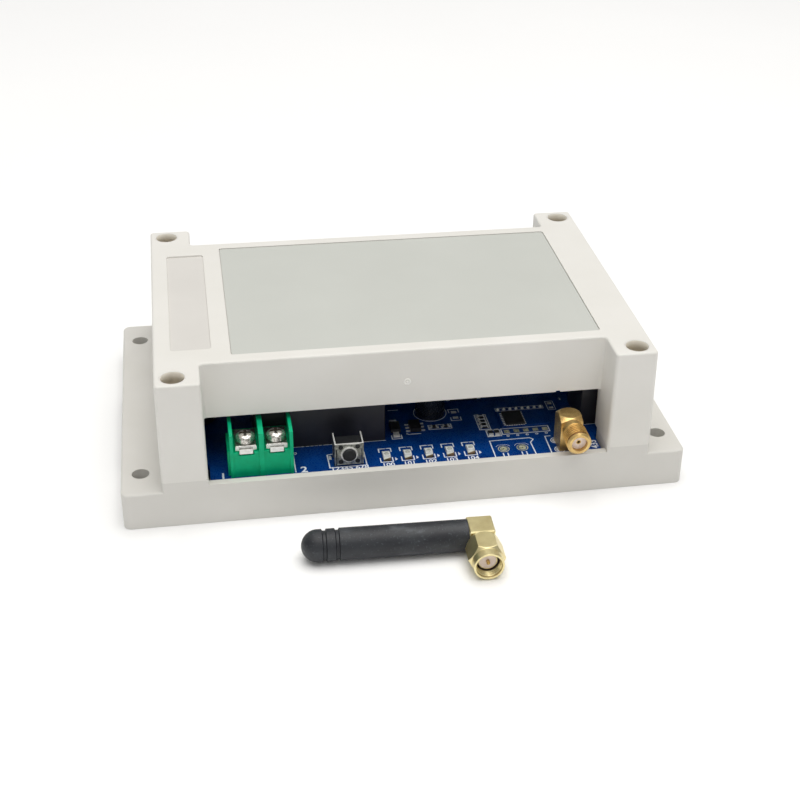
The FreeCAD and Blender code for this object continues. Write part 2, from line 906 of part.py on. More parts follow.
def make_learn_key_plunger():
    front = key_plate_y - key_plunger_reach
    back = key_plate_y + key_plunger_root
    rim = key_x + key_plunger_radius
    profile = [V(key_x, front, key_height), V(rim - key_plunger_edge, front, key_height),
               V(rim, front + key_plunger_edge, key_height), V(rim, back, key_height),
               V(key_x, back, key_height)]
    return turned(profile, V(key_x, 0, key_height), V(0, 1, 0))


def make_status_leds():
    lamps = []
    low = board_top + lamp_base_height
    half = lamp_lens_length / 2
    top_half = half - lamp_lens_taper
    for i in range(lamp_count):
        x = lamp_first_x + i * lamp_pitch
        side = x - lamp_width / 2
        base = slab(lamp_width, lamp_length, lamp_base_height, x, lamp_y, board_top)
        lens = face_of([V(side, lamp_y - half, low), V(side, lamp_y + half, low),
                        V(side, lamp_y + top_half, low + lamp_lens_height),
                        V(side, lamp_y - top_half, low + lamp_lens_height)])
        lamps.append(fused([base, lens.extrude(V(lamp_width, 0, 0))]))
    return group(lamps)


def make_jack_body():
    half = jack_width / 2
    middle = jack_front_y + jack_depth / 2
    top = board_top + jack_height
    body = slab(jack_width, jack_depth, jack_height, jack_x, middle, board_top)
    rim = half - jack_edge
    reach = math.hypot(half, jack_depth / 2) + past
    shoulder = top - (reach - rim) * jack_crown_slope
    crown = [V(jack_x, middle, board_top), V(jack_x + reach, middle, board_top),
             V(jack_x + reach, middle, shoulder), V(jack_x + rim, middle, top), V(jack_x, middle, top)]
    body = body.common(turned(crown, V(jack_x, middle, 0), V(0, 0, 1)))
    neck_end = jack_front_y - jack_neck_length
    neck = jack_x + jack_neck_radius
    thread = jack_x + jack_thread_radius
    z = jack_axis_z
    profile = [V(jack_x, jack_front_y + past, z), V(neck, jack_front_y + past, z),
               V(neck, neck_end + jack_neck_cone, z), V(thread, neck_end, z),
               V(thread, jack_end_y + jack_end_chamfer, z), V(thread - jack_end_chamfer, jack_end_y, z),
               V(jack_x, jack_end_y, z)]
    parts = [body, turned(profile, V(jack_x, 0, z), V(0, 1, 0))]
    for x, y in jack_pin_places():
        parts.append(rod(jack_pin_radius, jack_pin_length + past, x, y, board_top - jack_pin_length))
    bore = rod(jack_bore_radius, jack_bore_depth, jack_x, jack_end_y, z, V(0, 1, 0))
    return fused(parts).cut(bore)


def make_jack_insulator():
    face = jack_end_y + jack_face_drop
    depth = jack_bore_depth - jack_face_drop
    disc = rod(jack_bore_radius, depth, jack_x, face, jack_axis_z, V(0, 1, 0))
    return disc.cut(rod(jack_contact_radius, depth + 2 * past, jack_x, face - past, jack_axis_z, V(0, 1, 0)))


def make_jack_contact():
    face = jack_end_y + jack_face_drop
    pin = rod(jack_contact_radius, jack_bore_depth - jack_face_drop, jack_x, face, jack_axis_z, V(0, 1, 0))
    return pin.cut(rod(jack_contact_bore, jack_contact_depth, jack_x, face, jack_axis_z, V(0, 1, 0)))


def make_power_module():
    x = module_right_x - module_length / 2
    y = module_setback + module_width / 2 - board_edge
    module = slab(module_length, module_width, module_height, x, y, board_top)
    return round_top(round_upright(module, module_edge), module_edge)


def make_relays():
    y = block_face_y - block_depth - relay_block_gap - relay_width / 2
    relays = []
    for offset in spread(relay_count, relay_length + relay_gap):
        relay = slab(relay_length, relay_width, relay_height, relay_centre_x + offset, y, board_top)
        relays.append(round_top(round_upright(relay, relay_edge), relay_edge))
    return group(relays)


def leaded_chip(width, height, legs, pitch, x, y):
    """Plastic chip with a row of legs along each side, the rows running along Y."""
    length = (legs - 1) * pitch + leg_breadth + 2 * chip_end
    parts = [slab(width, length, height - chip_lift, x, y, board_top + chip_lift)]
    for side in (-1, 1):
        leg_x = x + side * (width + leg_reach - leg_hold) / 2
        for offset in spread(legs, pitch):
            parts.append(slab(leg_reach + leg_hold, leg_breadth, leg_height, leg_x, y + offset, board_top))
    return fused(parts)


def make_controller_chip():
    return leaded_chip(controller_width, controller_height, controller_legs, leg_pitch,
                       controller_x, controller_y)


def make_driver_chip():
    chip = leaded_chip(driver_width, driver_height, driver_legs, leg_pitch, driver_x, driver_y)
    chip.rotate(V(driver_x, driver_y, 0), V(0, 0, 1), 90)
    return chip


def make_regulator():
    return leaded_chip(regulator_width, regulator_height, regulator_legs, regulator_leg_pitch,
                       regulator_x, regulator_setback - board_edge)


def make_diode():
    y = diode_setback - board_edge
    body = slab(diode_width, diode_length, diode_height - chip_lift, diode_x, y, board_top + chip_lift)
    leads = slab(diode_lead_width, diode_length + 2 * diode_lead_reach, diode_lead_height,
                 diode_x, y, board_top)
    return fused([body, leads])


def make_smoothing_capacitor():
    r = capacitor_radius
    g = capacitor_groove
    top = capacitor_height
    profile = [V(0, 0, 0), V(r, 0, 0), V(r, 0, capacitor_groove_z - g), V(r - g, 0, capacitor_groove_z),
               V(r, 0, capacitor_groove_z + g), V(r, 0, top - g), V(r - g, 0, top), V(r - 2 * g, 0, top),
               V(r - 2 * g, 0, top - g), V(0, 0, top - g)]
    can = turned(profile, V(0, 0, 0), V(0, 0, 1))
    return can.translated(V(capacitor_x, capacitor_setback - board_edge, board_top))


def make_filter_capacitor():
    x = board_end - filter_end_gap - filter_length / 2
    y = filter_setback + filter_width / 2 - board_edge
    can = slab(filter_length, filter_width, filter_height, x, y, board_top)
    return round_top(round_upright(can, filter_edge), filter_edge)


def make_fuse():
    r = fuse_radius
    profile = [V(0, 0, 0), V(r, 0, 0), V(r, 0, fuse_height - fuse_edge), V(r - fuse_edge, 0, fuse_height),
               V(0, 0, fuse_height)]
    can = turned(profile, V(0, 0, 0), V(0, 0, 1))
    return can.translated(V(fuse_end_gap - board_end, fuse_y, board_top))


def make_varistor():
    x = fuse_end_gap - board_end
    z = board_top + varistor_lift + varistor_radius
    start = varistor_y - varistor_thickness / 2
    disc = rod(varistor_radius, varistor_thickness, x, start, z, V(0, 1, 0))
    rims = [edge for edge in disc.Edges if edge.Curve.TypeId == "Part::GeomCircle"]
    parts = [disc.makeFillet(varistor_edge, rims)]
    for offset in spread(2, varistor_lead_spacing):
        parts.append(rod(varistor_lead_radius, varistor_lift + varistor_lead_hold, x + offset, varistor_y,
                         board_top))
    return fused(parts)


def make_crystal():
    x = controller_x + controller_width / 2 + leg_reach + crystal_gap + crystal_rim + crystal_length / 2
    base = slab(crystal_length + 2 * crystal_rim, crystal_width + 2 * crystal_rim, crystal_rim,
                x, crystal_y, board_top)
    can = slab(crystal_length, crystal_width, crystal_height, x, crystal_y, board_top)
    base = round_upright(base, crystal_corner_radius)
    can = round_top(round_upright(can, crystal_corner_radius), crystal_rim)
    return fused([base, can])


def chip_resistor(x, y, length, width):
    """Chip part along X with raised end caps."""
    parts = [slab(length - 2 * end_cap, width, chip_height, x, y, board_top)]
    for side in (-1, 1):
        parts.append(slab(end_cap, width, chip_height + end_cap_rise, x + side * (length - end_cap) / 2, y,
                          board_top))
    return fused(parts)


def make_chip_resistors():
    """A row and a pair left of the radio board, and two chips behind the regulator."""
    chips = []
    for offset in spread(row_chip_count, row_chip_pitch):
        chips.append(chip_resistor(radio_left - row_chip_gap, row_chip_setback + offset - board_edge,
                                   row_chip_length, row_chip_width))
    pair_y = pair_chip_setback - board_edge
    for i in range(2):
        x = radio_left - pair_chip_gap - i * pair_chip_pitch
        chip = chip_resistor(x, pair_y, pair_chip_length, pair_chip_width)
        chip.rotate(V(x, pair_y, 0), V(0, 0, 1), 90)
        chips.append(chip)
    for i in range(2):
        chips.append(chip_resistor(small_chip_x + i * small_chip_pitch, small_chip_setback - board_edge,
                                   small_chip_length, small_chip_width))
    return group(chips)


def make_radio_board():
    return slab(radio_length, radio_width, radio_thickness, radio_x, radio_y, board_top)


def make_radio_chip():
    x = radio_left + radio_chip_inset + radio_chip_length / 2
    y = radio_y - radio_width / 2 + radio_chip_setback + radio_chip_width / 2
    chip = slab(radio_chip_length, radio_chip_width, radio_chip_height, x, y, board_top + radio_thickness)
    return chip.makeChamfer(small_bevel, top_edges(chip))


def make_radio_pins():
    y = radio_y + radio_width / 2 - radio_pin_inset
    z = board_top + radio_thickness
    pin = Part.makeCone(radio_pin_radius, radio_pin_tip_radius, radio_pin_height, V(radio_x, y, z))
    return group([pin.translated(V(x, 0, 0)) for x in spread(radio_pin_count, radio_pin_pitch)])


def make_rail_clip(x):
    half = clip_width / 2
    tail = half_width - clip_tail_inset
    tip = channel_y - lip_reach
    root = channel_y + past
    body = block(x - half, x + half, channel_y + clip_gap, tail, clip_bottom, clip_top)
    nose = face_of([V(x - half, tip, lip_top), V(x - half, tip, lip_bottom + clip_nose_chamfer),
                    V(x - half, tip + clip_nose_chamfer, lip_bottom), V(x - half, root, clip_bottom),
                    V(x - half, root, lip_top)])
    clip = body.fuse(nose.extrude(V(clip_width, 0, 0)))
    slot_half = peg_radius + clip_gap
    slot_end = peg_y - clip_travel
    slot = block(x - slot_half, x + slot_half, slot_end, peg_y, 0, rail_depth)
    slot = slot.fuse([rod(slot_half, rail_depth, x, peg_y, 0), rod(slot_half, rail_depth, x, slot_end, 0)])
    pull_y = tail - pull_slot_inset
    pull = block(x - pull_slot_length / 2, x + pull_slot_length / 2, pull_y, pull_y + pull_slot_width,
                 0, rail_depth)
    return clip.cut([slot, pull]).removeSplitter()


def place_antenna(shape):
    """From the elbow's frame to where the antenna lies."""
    laid = shape.copy()
    laid.rotate(V(0, 0, 0), V(0, 0, 1), antenna_turn)
    return laid.translated(V(antenna_x, antenna_y, antenna_axis_z))


def make_antenna_mast():
    """Rubber mast with a round tip, two grooves and a spigot in the elbow, turned about X."""
    r = mast_radius
    start = -elbow_width / 2
    tip = start - mast_length
    low = r - mast_groove_depth
    points = [V(start + mast_spigot_length, 0, 0), V(start + mast_spigot_length, mast_spigot_radius, 0),
              V(start, mast_spigot_radius, 0), V(start, r, 0)]
    for i in reversed(range(mast_groove_count)):
        middle = tip + mast_groove_first + i * mast_groove_pitch
        near = middle + mast_groove_width / 2
        far = middle - mast_groove_width / 2
        points += [V(near, r, 0), V(near - mast_groove_slope, low, 0), V(far + mast_groove_slope, low, 0),
                   V(far, r, 0)]
    points.append(V(tip + r, r, 0))
    lines = [Part.LineSegment(a, b).toShape() for a, b in zip(points, points[1:])]
    end = V(tip, 0, 0)
    reach = r * math.sqrt(0.5)
    lines.append(Part.Arc(points[-1], V(tip + r - reach, reach, 0), end).toShape())
    lines.append(Part.LineSegment(end, points[0]).toShape())
    return place_antenna(Part.Face(Part.Wire(lines)).revolve(V(0, 0, 0), V(1, 0, 0), 360))


def make_antenna_elbow():
    """Square elbow with the neck, flange and sleeve of its plug, turned about Y."""
    w = elbow_width / 2
    d = elbow_depth / 2
    cube = block(-w, w, -d, d, -w, w)
    cube = cube.makeChamfer(elbow_edge, cube.Edges)
    cube = cube.cut(rod(mast_spigot_radius + mast_spigot_gap, mast_spigot_length + mast_spigot_gap,
                        -w, 0, 0, V(1, 0, 0)))
    root = elbow_root - d
    hold = nut_front + nut_length - nut_rear_wall - nut_fit
    flange_end = hold - neck_flange_length
    r = plug_sleeve_radius
    profile = [V(0, root, 0), V(neck_radius, root, 0), V(neck_radius, hold, 0),
               V(neck_flange_radius, hold, 0), V(neck_flange_radius, flange_end, 0),
               V(r, flange_end, 0), V(r, plug_face, 0), V(0, plug_face, 0)]
    elbow = fused([cube, turned(profile, V(0, 0, 0), V(0, 1, 0))])
    return place_antenna(elbow.cut(rod(r - plug_sleeve_wall, plug_depth, 0, plug_face, 0, V(0, 1, 0))))


def make_antenna_insulator():
    disc = rod(plug_sleeve_radius - plug_sleeve_wall, plug_depth, 0, plug_face, 0, V(0, 1, 0))
    bore = rod(plug_pin_radius, plug_depth + 2 * past, 0, plug_face - past, 0, V(0, 1, 0))
    return place_antenna(disc.cut(bore))


def make_antenna_pin():
    back = plug_face + plug_depth
    tip = plug_face - plug_pin_reach
    r = plug_pin_radius
    profile = [V(0, back, 0), V(r, back, 0), V(r, tip + r, 0), V(plug_pin_tip_radius, tip, 0), V(0, tip, 0)]
    return place_antenna(turned(profile, V(0, 0, 0), V(0, 1, 0)))


def make_antenna_nut():
    """Hexagon nut with a round collar in front and a turned edge behind, standing on a flat."""
    back = nut_front + nut_length
    corner = nut_across_flats / math.sqrt(3)
    angles = [math.radians(60 * i) for i in range(6)]
    hexagon = face_of([V(corner * math.cos(a), nut_front, corner * math.sin(a)) for a in angles])
    prism = hexagon.extrude(V(0, nut_length, 0))
    collar = nut_across_flats / 2 - nut_collar_drop
    root = collar + nut_collar_cone
    front_root = nut_front + nut_collar_length
    rear_rim = nut_across_flats / 2 - nut_rear_edge
    rear_root = back - (corner - rear_rim) * nut_rear_slope
    profile = [V(0, nut_front, 0), V(collar, nut_front, 0), V(root, front_root, 0),
               V(corner, front_root + nut_taper_length, 0), V(corner, rear_root, 0),
               V(rear_rim, back, 0), V(0, back, 0)]
    nut = prism.common(turned(profile, V(0, 0, 0), V(0, 1, 0)))
    wide = rod(nut_bore_radius, nut_length - nut_rear_wall, 0, nut_front, 0, V(0, 1, 0))
    narrow = rod(neck_radius + nut_fit, nut_length + 2 * past, 0, nut_front - past, 0, V(0, 1, 0))
    return place_antenna(nut.cut([wide, narrow]))


def all_nodes():
    """Every node's name and shape."""
    nodes = {
        "base_tray": make_base_tray(),
        "top_cover": make_top_cover(),
        "cover_screws": make_cover_screws(),
        "front_label": make_front_label(),
        "circuit_board": make_circuit_board(),
        "board_screws": make_board_screws(),
        "learn_key_body": make_learn_key_body(),
        "learn_key_bracket": make_learn_key_bracket(),
        "learn_key_plunger": make_learn_key_plunger(),
        "status_leds": make_status_leds(),
        "antenna_jack_body": make_jack_body(),
        "antenna_jack_insulator": make_jack_insulator(),
        "antenna_jack_contact": make_jack_contact(),
        "power_module": make_power_module(),
        "relays": make_relays(),
        "radio_board": make_radio_board(),
        "radio_chip": make_radio_chip(),
        "radio_pins": make_radio_pins(),
        "controller_chip": make_controller_chip(),
        "relay_driver_chip": make_driver_chip(),
        "voltage_regulator": make_regulator(),
        "rectifier_diode": make_diode(),
        "smoothing_capacitor": make_smoothing_capacitor(),
        "filter_capacitor": make_filter_capacitor(),
        "fuse": make_fuse(),
        "varistor": make_varistor(),
        "crystal": make_crystal(),
        "chip_resistors": make_chip_resistors(),
        "rail_clip_left": make_rail_clip(-clip_x),
        "rail_clip_right": make_rail_clip(clip_x),
        "antenna_mast": make_antenna_mast(),
        "antenna_elbow": make_antenna_elbow(),
        "antenna_insulator": make_antenna_insulator(),
        "antenna_pin": make_antenna_pin(),
        "antenna_nut": make_antenna_nut(),
    }
    nodes.update(make_terminals("input", input_poles, on_front))
    nodes.update(make_terminals("output", output_poles, on_back))
    return nodes


os.makedirs("parts", exist_ok=True)
for node, shape in all_nodes().items():
    shape.exportStep("parts/%s.step" % node)
    print(node, len(shape.Solids), "solids", round(shape.Volume, 2), "mm3",
          "ok" if shape.isValid() else "not valid")
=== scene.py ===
import json
import math

import bmesh
import bpy
from mathutils import Matrix, Vector


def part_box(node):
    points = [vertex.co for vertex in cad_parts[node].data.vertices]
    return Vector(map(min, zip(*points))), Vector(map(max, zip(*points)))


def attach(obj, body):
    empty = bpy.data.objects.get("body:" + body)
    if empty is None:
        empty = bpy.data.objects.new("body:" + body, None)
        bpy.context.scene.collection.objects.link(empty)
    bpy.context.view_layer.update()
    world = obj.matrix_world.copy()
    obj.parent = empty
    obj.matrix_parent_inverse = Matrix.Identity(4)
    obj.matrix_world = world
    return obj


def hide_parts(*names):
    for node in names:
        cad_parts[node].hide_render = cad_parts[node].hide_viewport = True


# Looks of the remote switch controller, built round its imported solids.
# The camera, the lights and the floor are in metres. All other lengths are in millimetres until mm turns
# them into metres.

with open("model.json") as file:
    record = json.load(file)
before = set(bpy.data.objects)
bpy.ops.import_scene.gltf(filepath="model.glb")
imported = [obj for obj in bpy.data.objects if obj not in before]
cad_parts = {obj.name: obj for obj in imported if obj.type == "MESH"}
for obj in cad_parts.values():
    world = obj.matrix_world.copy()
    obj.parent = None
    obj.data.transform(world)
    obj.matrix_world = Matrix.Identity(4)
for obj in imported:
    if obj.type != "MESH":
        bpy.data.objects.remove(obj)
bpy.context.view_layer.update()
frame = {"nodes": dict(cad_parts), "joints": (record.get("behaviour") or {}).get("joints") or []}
nodes = frame["nodes"]
mm = 0.001

# Camera, as found from the box's own corners in the photograph
camera_azimuth = math.radians(-11.61)
camera_elevation = math.radians(30.76)
camera_roll = math.radians(1.76)
camera_distance = 0.3718
camera_target = Vector((0.0130, -0.0274, 0.0200))
camera_near = 0.01
camera_far = 20.0
image_width = 800
focal_px = 1419.3
centre_px = 451.3
sensor = 36.0

# Light: a wide soft light overhead, a dim card in front at the left, and a sky that is dim near the horizon
sky_low = 0.28
sky_high = 0.42
sky_bend = 0.35
top_light_power = 15.7
top_light_size = (1.3, 1.3)
top_light_place = (0.08, -0.05, 1.25)
top_light_aim = (0.0, 0.0, 0.0)
top_light_colour = (1.0, 0.985, 0.955)
card_power = 0.85
card_size = (0.8, 0.4)
card_place = (-0.3, -1.1, 0.75)
card_aim = (0.0, 0.0, 0.02)
card_colour = (1.0, 0.99, 0.97)
floor_size = 40.0
floor_gap_mm = 0.05

# Where a material's tones and its gloss reach their ends, on the noise that drives them
patch_stops = (0.3, 0.7)
grain_stops = (0.25, 0.75)

# Printed marks: lift above what carries them, thickness, widths. Then what shapes discs, mounds and numbers
print_lift_mm = 0.012
print_thickness_mm = 0.02
line_mm = 0.3
thin_line_mm = 0.2
faint_line_mm = 0.1
outline_mm = 0.3
sharpest_mitre = 0.35
disc_rim_share = 0.15
mound_slope_share = 0.18
digit_size_share = 1.42
digit_swell_share = 0.03
round_sides = 48

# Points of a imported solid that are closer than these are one
weld_mm = 0.0005
join_mm = 0.001

# Softening of sharp edges: its width, and the angle in degrees from which an edge is softened
soft_edge_mm = 0.05
soft_edge_angle = 32.0
jack_edge_mm = 0.16
jack_edge_angle = 28.0
nut_edge_mm = 0.09
nut_edge_angle = 25.0

# How far a face has to look along an axis, as a share of straight along it
level_facing = 0.9
edge_facing = 0.6
lip_facing = 0.3
slant_facing = (0.25, 0.9)

# Threads of the jack and the coupling nut
thread_radius_mm = 3.175
thread_pitch_mm = 0.7056
thread_depth_mm = 0.38
thread_chamfer_mm = 0.5
thread_length_mm = 5.2
thread_relief_mm = 0.75
thread_root_share = 0.6
thread_fade_turns = 0.6
wall_tolerance_mm = 0.02
groove_slope = 1.25
groove_crest = 0.12
nut_thread_depth_mm = 0.3
lining_gap_mm = 0.015
lining_start_mm = 0.35
lining_length_mm = 3.6

# Rear edge of the coupling nut, turned down outside a rim, and the seal in front of the plug's face, a dark
# ring that stands as painted shade of the groove there
nut_rim_mm = 3.85
nut_rim_slope = 1.6
nut_rim_margin_mm = 0.05
nut_edge_depth_mm = 0.7
nut_slant_depth_mm = 1.3
seal_inner_mm = 2.3
seal_outer_mm = 2.82
seal_inset_mm = 0.05
seal_length_mm = 1.45

# Cover: floor of the marking strip, mouths of the screw bores, mark of the moulding gate
strip_reach_mm = 30.0
strip_depth_mm = 1.0
top_margin_mm = 0.05
level_tolerance_mm = 0.01
lip_radius_mm = 2.9
lip_depth_mm = 3.0
lip_edge_mm = 0.12
gate_height_mm = 31.0
gate_radius_mm = 0.85
gate_ring_mm = 0.95
gate_ring_hole_mm = 0.55
gate_pip_mm = 0.27
gate_ring_height_mm = 0.12
gate_ring_sink_mm = 0.02

# Driver cross of the screws
cross_half_width_mm = 0.39
cross_half_length_mm = 1.46
cross_depth_mm = 1.05

# Small parts on the board
lamp_base_mm = 0.56
lamp_foot_mm = 0.55
lamp_dome_radius_mm = 0.62
lamp_dome_height_mm = 0.2
lamp_dome_sink_mm = 0.01
chip_cap_mm = 0.46
box_slack_mm = 0.002
long_chip_mm = 1.6
radio_chip_pads = 8
first_lamp_number = 100
varistor_leg_mm = 1.6
key_arm_mm = 2.9
key_plate_depth_mm = 0.34
key_ring_reach_mm = 2.2
key_peg_reach_mm = 2.15
key_peg_radius_mm = 0.62
ring_pad_radius_mm = 1.55
ring_pad_hole_mm = 1.28
ring_pad_fill_mm = 1.0
ring_pad_bore_mm = 0.25
ring_pad_height_mm = 0.04
ring_pad_fill_height_mm = 0.07
ring_pad_fill_bore_mm = 0.22
bore_lift_mm = 0.002
bore_height_mm = 0.01
jack_pad_radius_mm = 1.05
jack_pad_bore_mm = 0.5
jack_pad_height_mm = 0.05
track_bend_mm = 1.2
sill_cover_mm = 1.0

# Corners of a square about its middle, in order
corners = ((-1, -1), (1, -1), (1, 1), (-1, 1))


def place_camera():
    data = bpy.data.cameras.new("camera")
    camera = bpy.data.objects.new("camera", data)
    bpy.context.scene.collection.objects.link(camera)
    back = Vector((math.sin(camera_azimuth) * math.cos(camera_elevation),
                   -math.cos(camera_azimuth) * math.cos(camera_elevation),
                   math.sin(camera_elevation)))
    right = (-back).cross(Vector((0, 0, 1))).normalized()
    up = right.cross(-back)
    cos_roll = math.cos(camera_roll)
    sin_roll = math.sin(camera_roll)
    side = cos_roll * right + sin_roll * up
    top = cos_roll * up - sin_roll * right
    turn = Matrix((side, top, back)).transposed()
    camera.matrix_world = Matrix.Translation(camera_target + back * camera_distance) @ turn.to_4x4()
    data.sensor_width = sensor
    data.lens = focal_px * sensor / image_width
    data.shift_x = (image_width / 2 - centre_px) / image_width
    data.clip_start = camera_near
    data.clip_end = camera_far
    bpy.context.scene.camera = camera


def add_light(name, place, aim, size, power, colour):
    data = bpy.data.lights.new(name, "AREA")
    data.shape = "RECTANGLE"
    data.size, data.size_y = size
    data.energy = power
    data.color = colour
    light = bpy.data.objects.new(name, data)
    bpy.context.scene.collection.objects.link(light)
    light.location = place
    light.rotation_mode = "QUATERNION"
    light.rotation_quaternion = (Vector(aim) - Vector(place)).to_track_quat("-Z", "Y")
    light.visible_camera = False


# Building blocks for materials. A colour is red, green and blue, linear unless srgb makes it.

def new_material(name):
    material = bpy.data.materials.new(name)
    material.use_nodes = True
    tree = material.node_tree
    return material, tree, tree.nodes["Principled BSDF"]


def add_node(tree, kind, **settings):
    made = tree.nodes.new(kind)
    for key, value in settings.items():
        setattr(made, key, value)
    return made


def srgb(red, green, blue):
    """Linear colour of a colour given in 0 to 255."""
    def linear(value):
        share = value / 255
        return share / 12.92 if share <= 0.04045 else ((share + 0.055) / 1.055) ** 2.4
    return (linear(red), linear(green), linear(blue))


def grey(value):
    return (value, value, value)


def opaque(colour):
    return colour + (1.0,)


def place_of(tree, stretch=(1.0, 1.0, 1.0)):
    """The piece's own coordinates, stretched."""
    where = add_node(tree, "ShaderNodeTexCoord")
    mapping = add_node(tree, "ShaderNodeMapping")
    mapping.inputs["Scale"].default_value = stretch
    tree.links.new(where.outputs["Object"], mapping.inputs["Vector"])
    return mapping.outputs["Vector"]


def noise(tree, grain_mm, detail=3.0, stretch=(1.0, 1.0, 1.0)):
    """Noise whose features are about grain_mm across."""
    made = add_node(tree, "ShaderNodeTexNoise")
    made.inputs["Scale"].default_value = 1 / (grain_mm * mm)
    made.inputs["Detail"].default_value = detail
    tree.links.new(place_of(tree, stretch), made.inputs["Vector"])
    return made.outputs["Fac"]


def ramp(tree, factor, stops):
    """Colour that follows a factor between stops of (place, colour)."""
    made = add_node(tree, "ShaderNodeValToRGB")
    while len(made.color_ramp.elements) < len(stops):
        made.color_ramp.elements.new(0.5)
    for element, (place, colour) in zip(made.color_ramp.elements, stops):
        element.position = place
        element.color = opaque(colour)
    tree.links.new(factor, made.inputs["Fac"])
    return made.outputs["Color"]


def between(tree, factor, places, low, high):
    """Colour that goes from low to high between two places on a factor."""
    return ramp(tree, factor, [(places[0], low), (places[1], high)])


def blend_colours(tree, factor, first, second):
    """Colour that goes from first, a socket, to second, a plain colour."""
    made = add_node(tree, "ShaderNodeMix", data_type="RGBA")
    colours = [socket for socket in made.inputs if socket.type == "RGBA"]
    tree.links.new(factor, made.inputs["Factor"])
    tree.links.new(first, colours[0])
    colours[1].default_value = opaque(second)
    return [socket for socket in made.outputs if socket.type == "RGBA"][0]


def bumped(tree, shader, height, depth_mm, strength=1.0):
    made = add_node(tree, "ShaderNodeBump")
    made.inputs["Strength"].default_value = strength
    made.inputs["Distance"].default_value = depth_mm * mm
    tree.links.new(height, made.inputs["Height"])
    tree.links.new(made.outputs["Normal"], shader.inputs["Normal"])


def surface(name, dark, light, patch_mm, rough, grain_mm, depth_mm=0.0, metallic=0.0, sockets=(),
            stretch=(1.0, 1.0, 1.0)):
    """Material whose colour drifts between two tones and whose gloss and relief follow a finer grain."""
    material, tree, shader = new_material(name)
    patches = noise(tree, patch_mm, 4.0, stretch)
    tree.links.new(between(tree, patches, patch_stops, dark, light), shader.inputs["Base Color"])
    fine = noise(tree, grain_mm, 2.0, stretch)
    gloss = between(tree, fine, grain_stops, grey(rough[0]), grey(rough[1]))
    tree.links.new(gloss, shader.inputs["Roughness"])
    if depth_mm:
        bumped(tree, shader, fine, depth_mm)
    shader.inputs["Metallic"].default_value = metallic
    for socket, value in sockets:
        shader.inputs[socket].default_value = value
    return material


def metal(name, dark, light, patch_mm, rough, grain_mm, depth_mm=0.0, stretch=(1.0, 1.0, 1.0)):
    return surface(name, dark, light, patch_mm, rough, grain_mm, depth_mm, 1.0, (), stretch)


def glowing_depth(weight, reach_mm):
    """Sockets for light that sinks a little into a plastic."""
    return [("Subsurface Weight", weight), ("Subsurface Scale", 1.0),
            ("Subsurface Radius", (reach_mm * mm, reach_mm * mm, reach_mm * mm))]


# Materials: two tones, the size of their patches, the least and greatest roughness, the size of the
# grain, its relief, and what else sets one apart

def make_plastics():
    soft = glowing_depth(0.3, 0.5)
    return {
        "cover": surface("cover_plastic", srgb(225, 223, 217), srgb(230, 228, 223), 18.0,
                         (0.42, 0.5), 0.28, 0.006),
        # Darker copy of the cover's plastic for the strip's floor: painted shade.
        "strip": surface("strip_plastic_painted_shade", srgb(212, 209, 204), srgb(217, 214, 209), 18.0,
                         (0.42, 0.5), 0.28, 0.006),
        # Paler copy of the cover's plastic for the bore walls: painted light.
        "bore_painted_light": surface("bore_plastic_painted_light", srgb(248, 240, 226), srgb(252, 246, 234), 6.0,
                        (0.5, 0.6), 0.28, 0.004, 0.0, soft),
        # Whiter than the cover: painted highlight on the gate mark.
        "gate": surface("gate_plastic_painted_highlight", srgb(250, 249, 244), srgb(255, 254, 250), 1.0,
                        (0.25, 0.35), 0.2),
        "tray": surface("tray_plastic", srgb(214, 212, 206), srgb(219, 217, 212), 18.0,
                        (0.44, 0.52), 0.28, 0.006),
        "label": surface("label_film", srgb(196, 198, 192), srgb(200, 202, 196), 25.0,
                         (0.4, 0.46), 0.16, 0.002),
        "clip": surface("clip_plastic", srgb(214, 212, 206), srgb(221, 219, 213), 8.0,
                        (0.4, 0.5), 0.25, 0.006),
        "green": surface("terminal_plastic", srgb(0, 168, 116), srgb(0, 186, 132), 3.0,
                         (0.4, 0.5), 0.2, 0.008, 0.0, [("Specular IOR Level", 0.2)]),
        "black_case": surface("potting_case", (0.021, 0.021, 0.027), (0.027, 0.027, 0.034), 4.0,
                              (0.34, 0.46), 0.3, 0.004),
        "chip": surface("chip_resin", (0.008, 0.009, 0.011), (0.018, 0.019, 0.022), 1.2,
                        (0.42, 0.6), 0.12, 0.006),
        "key_black": surface("key_plastic", (0.004, 0.005, 0.006), (0.014, 0.016, 0.018), 0.7,
                             (0.4, 0.6), 0.1, 0.008),
        "sleeve": surface("capacitor_sleeve", (0.006, 0.009, 0.016), (0.014, 0.018, 0.028), 1.6,
                          (0.2, 0.32), 0.3, 0.0008),
        "lamp_base": surface("lamp_base", srgb(190, 194, 180), srgb(226, 228, 220), 0.6,
                             (0.4, 0.55), 0.1, 0.006),
        "lens": surface("lamp_lens", srgb(216, 220, 218), srgb(240, 242, 240), 0.7,
                        (0.18, 0.3), 0.2, 0.004, 0.0, soft + [("Coat Weight", 0.4)]),
        "dome": surface("lamp_dome", srgb(158, 162, 156), srgb(214, 216, 208), 0.35,
                        (0.12, 0.24), 0.1, 0.003, 0.0, soft + [("Coat Weight", 0.6)]),
        "insulator": surface("insulator", srgb(246, 226, 214), srgb(255, 240, 232), 0.9,
                             (0.35, 0.5), 0.15, 0.006),
        # Dark red-brown ring tone: painted shade of the groove between the plug's sleeve and the nut.
        "seal": surface("seal_rubber_painted_shade", srgb(26, 8, 8), srgb(52, 16, 14), 0.6,
                        (0.5, 0.65), 0.12, 0.004),
        "rubber": rubber_material(),
    }


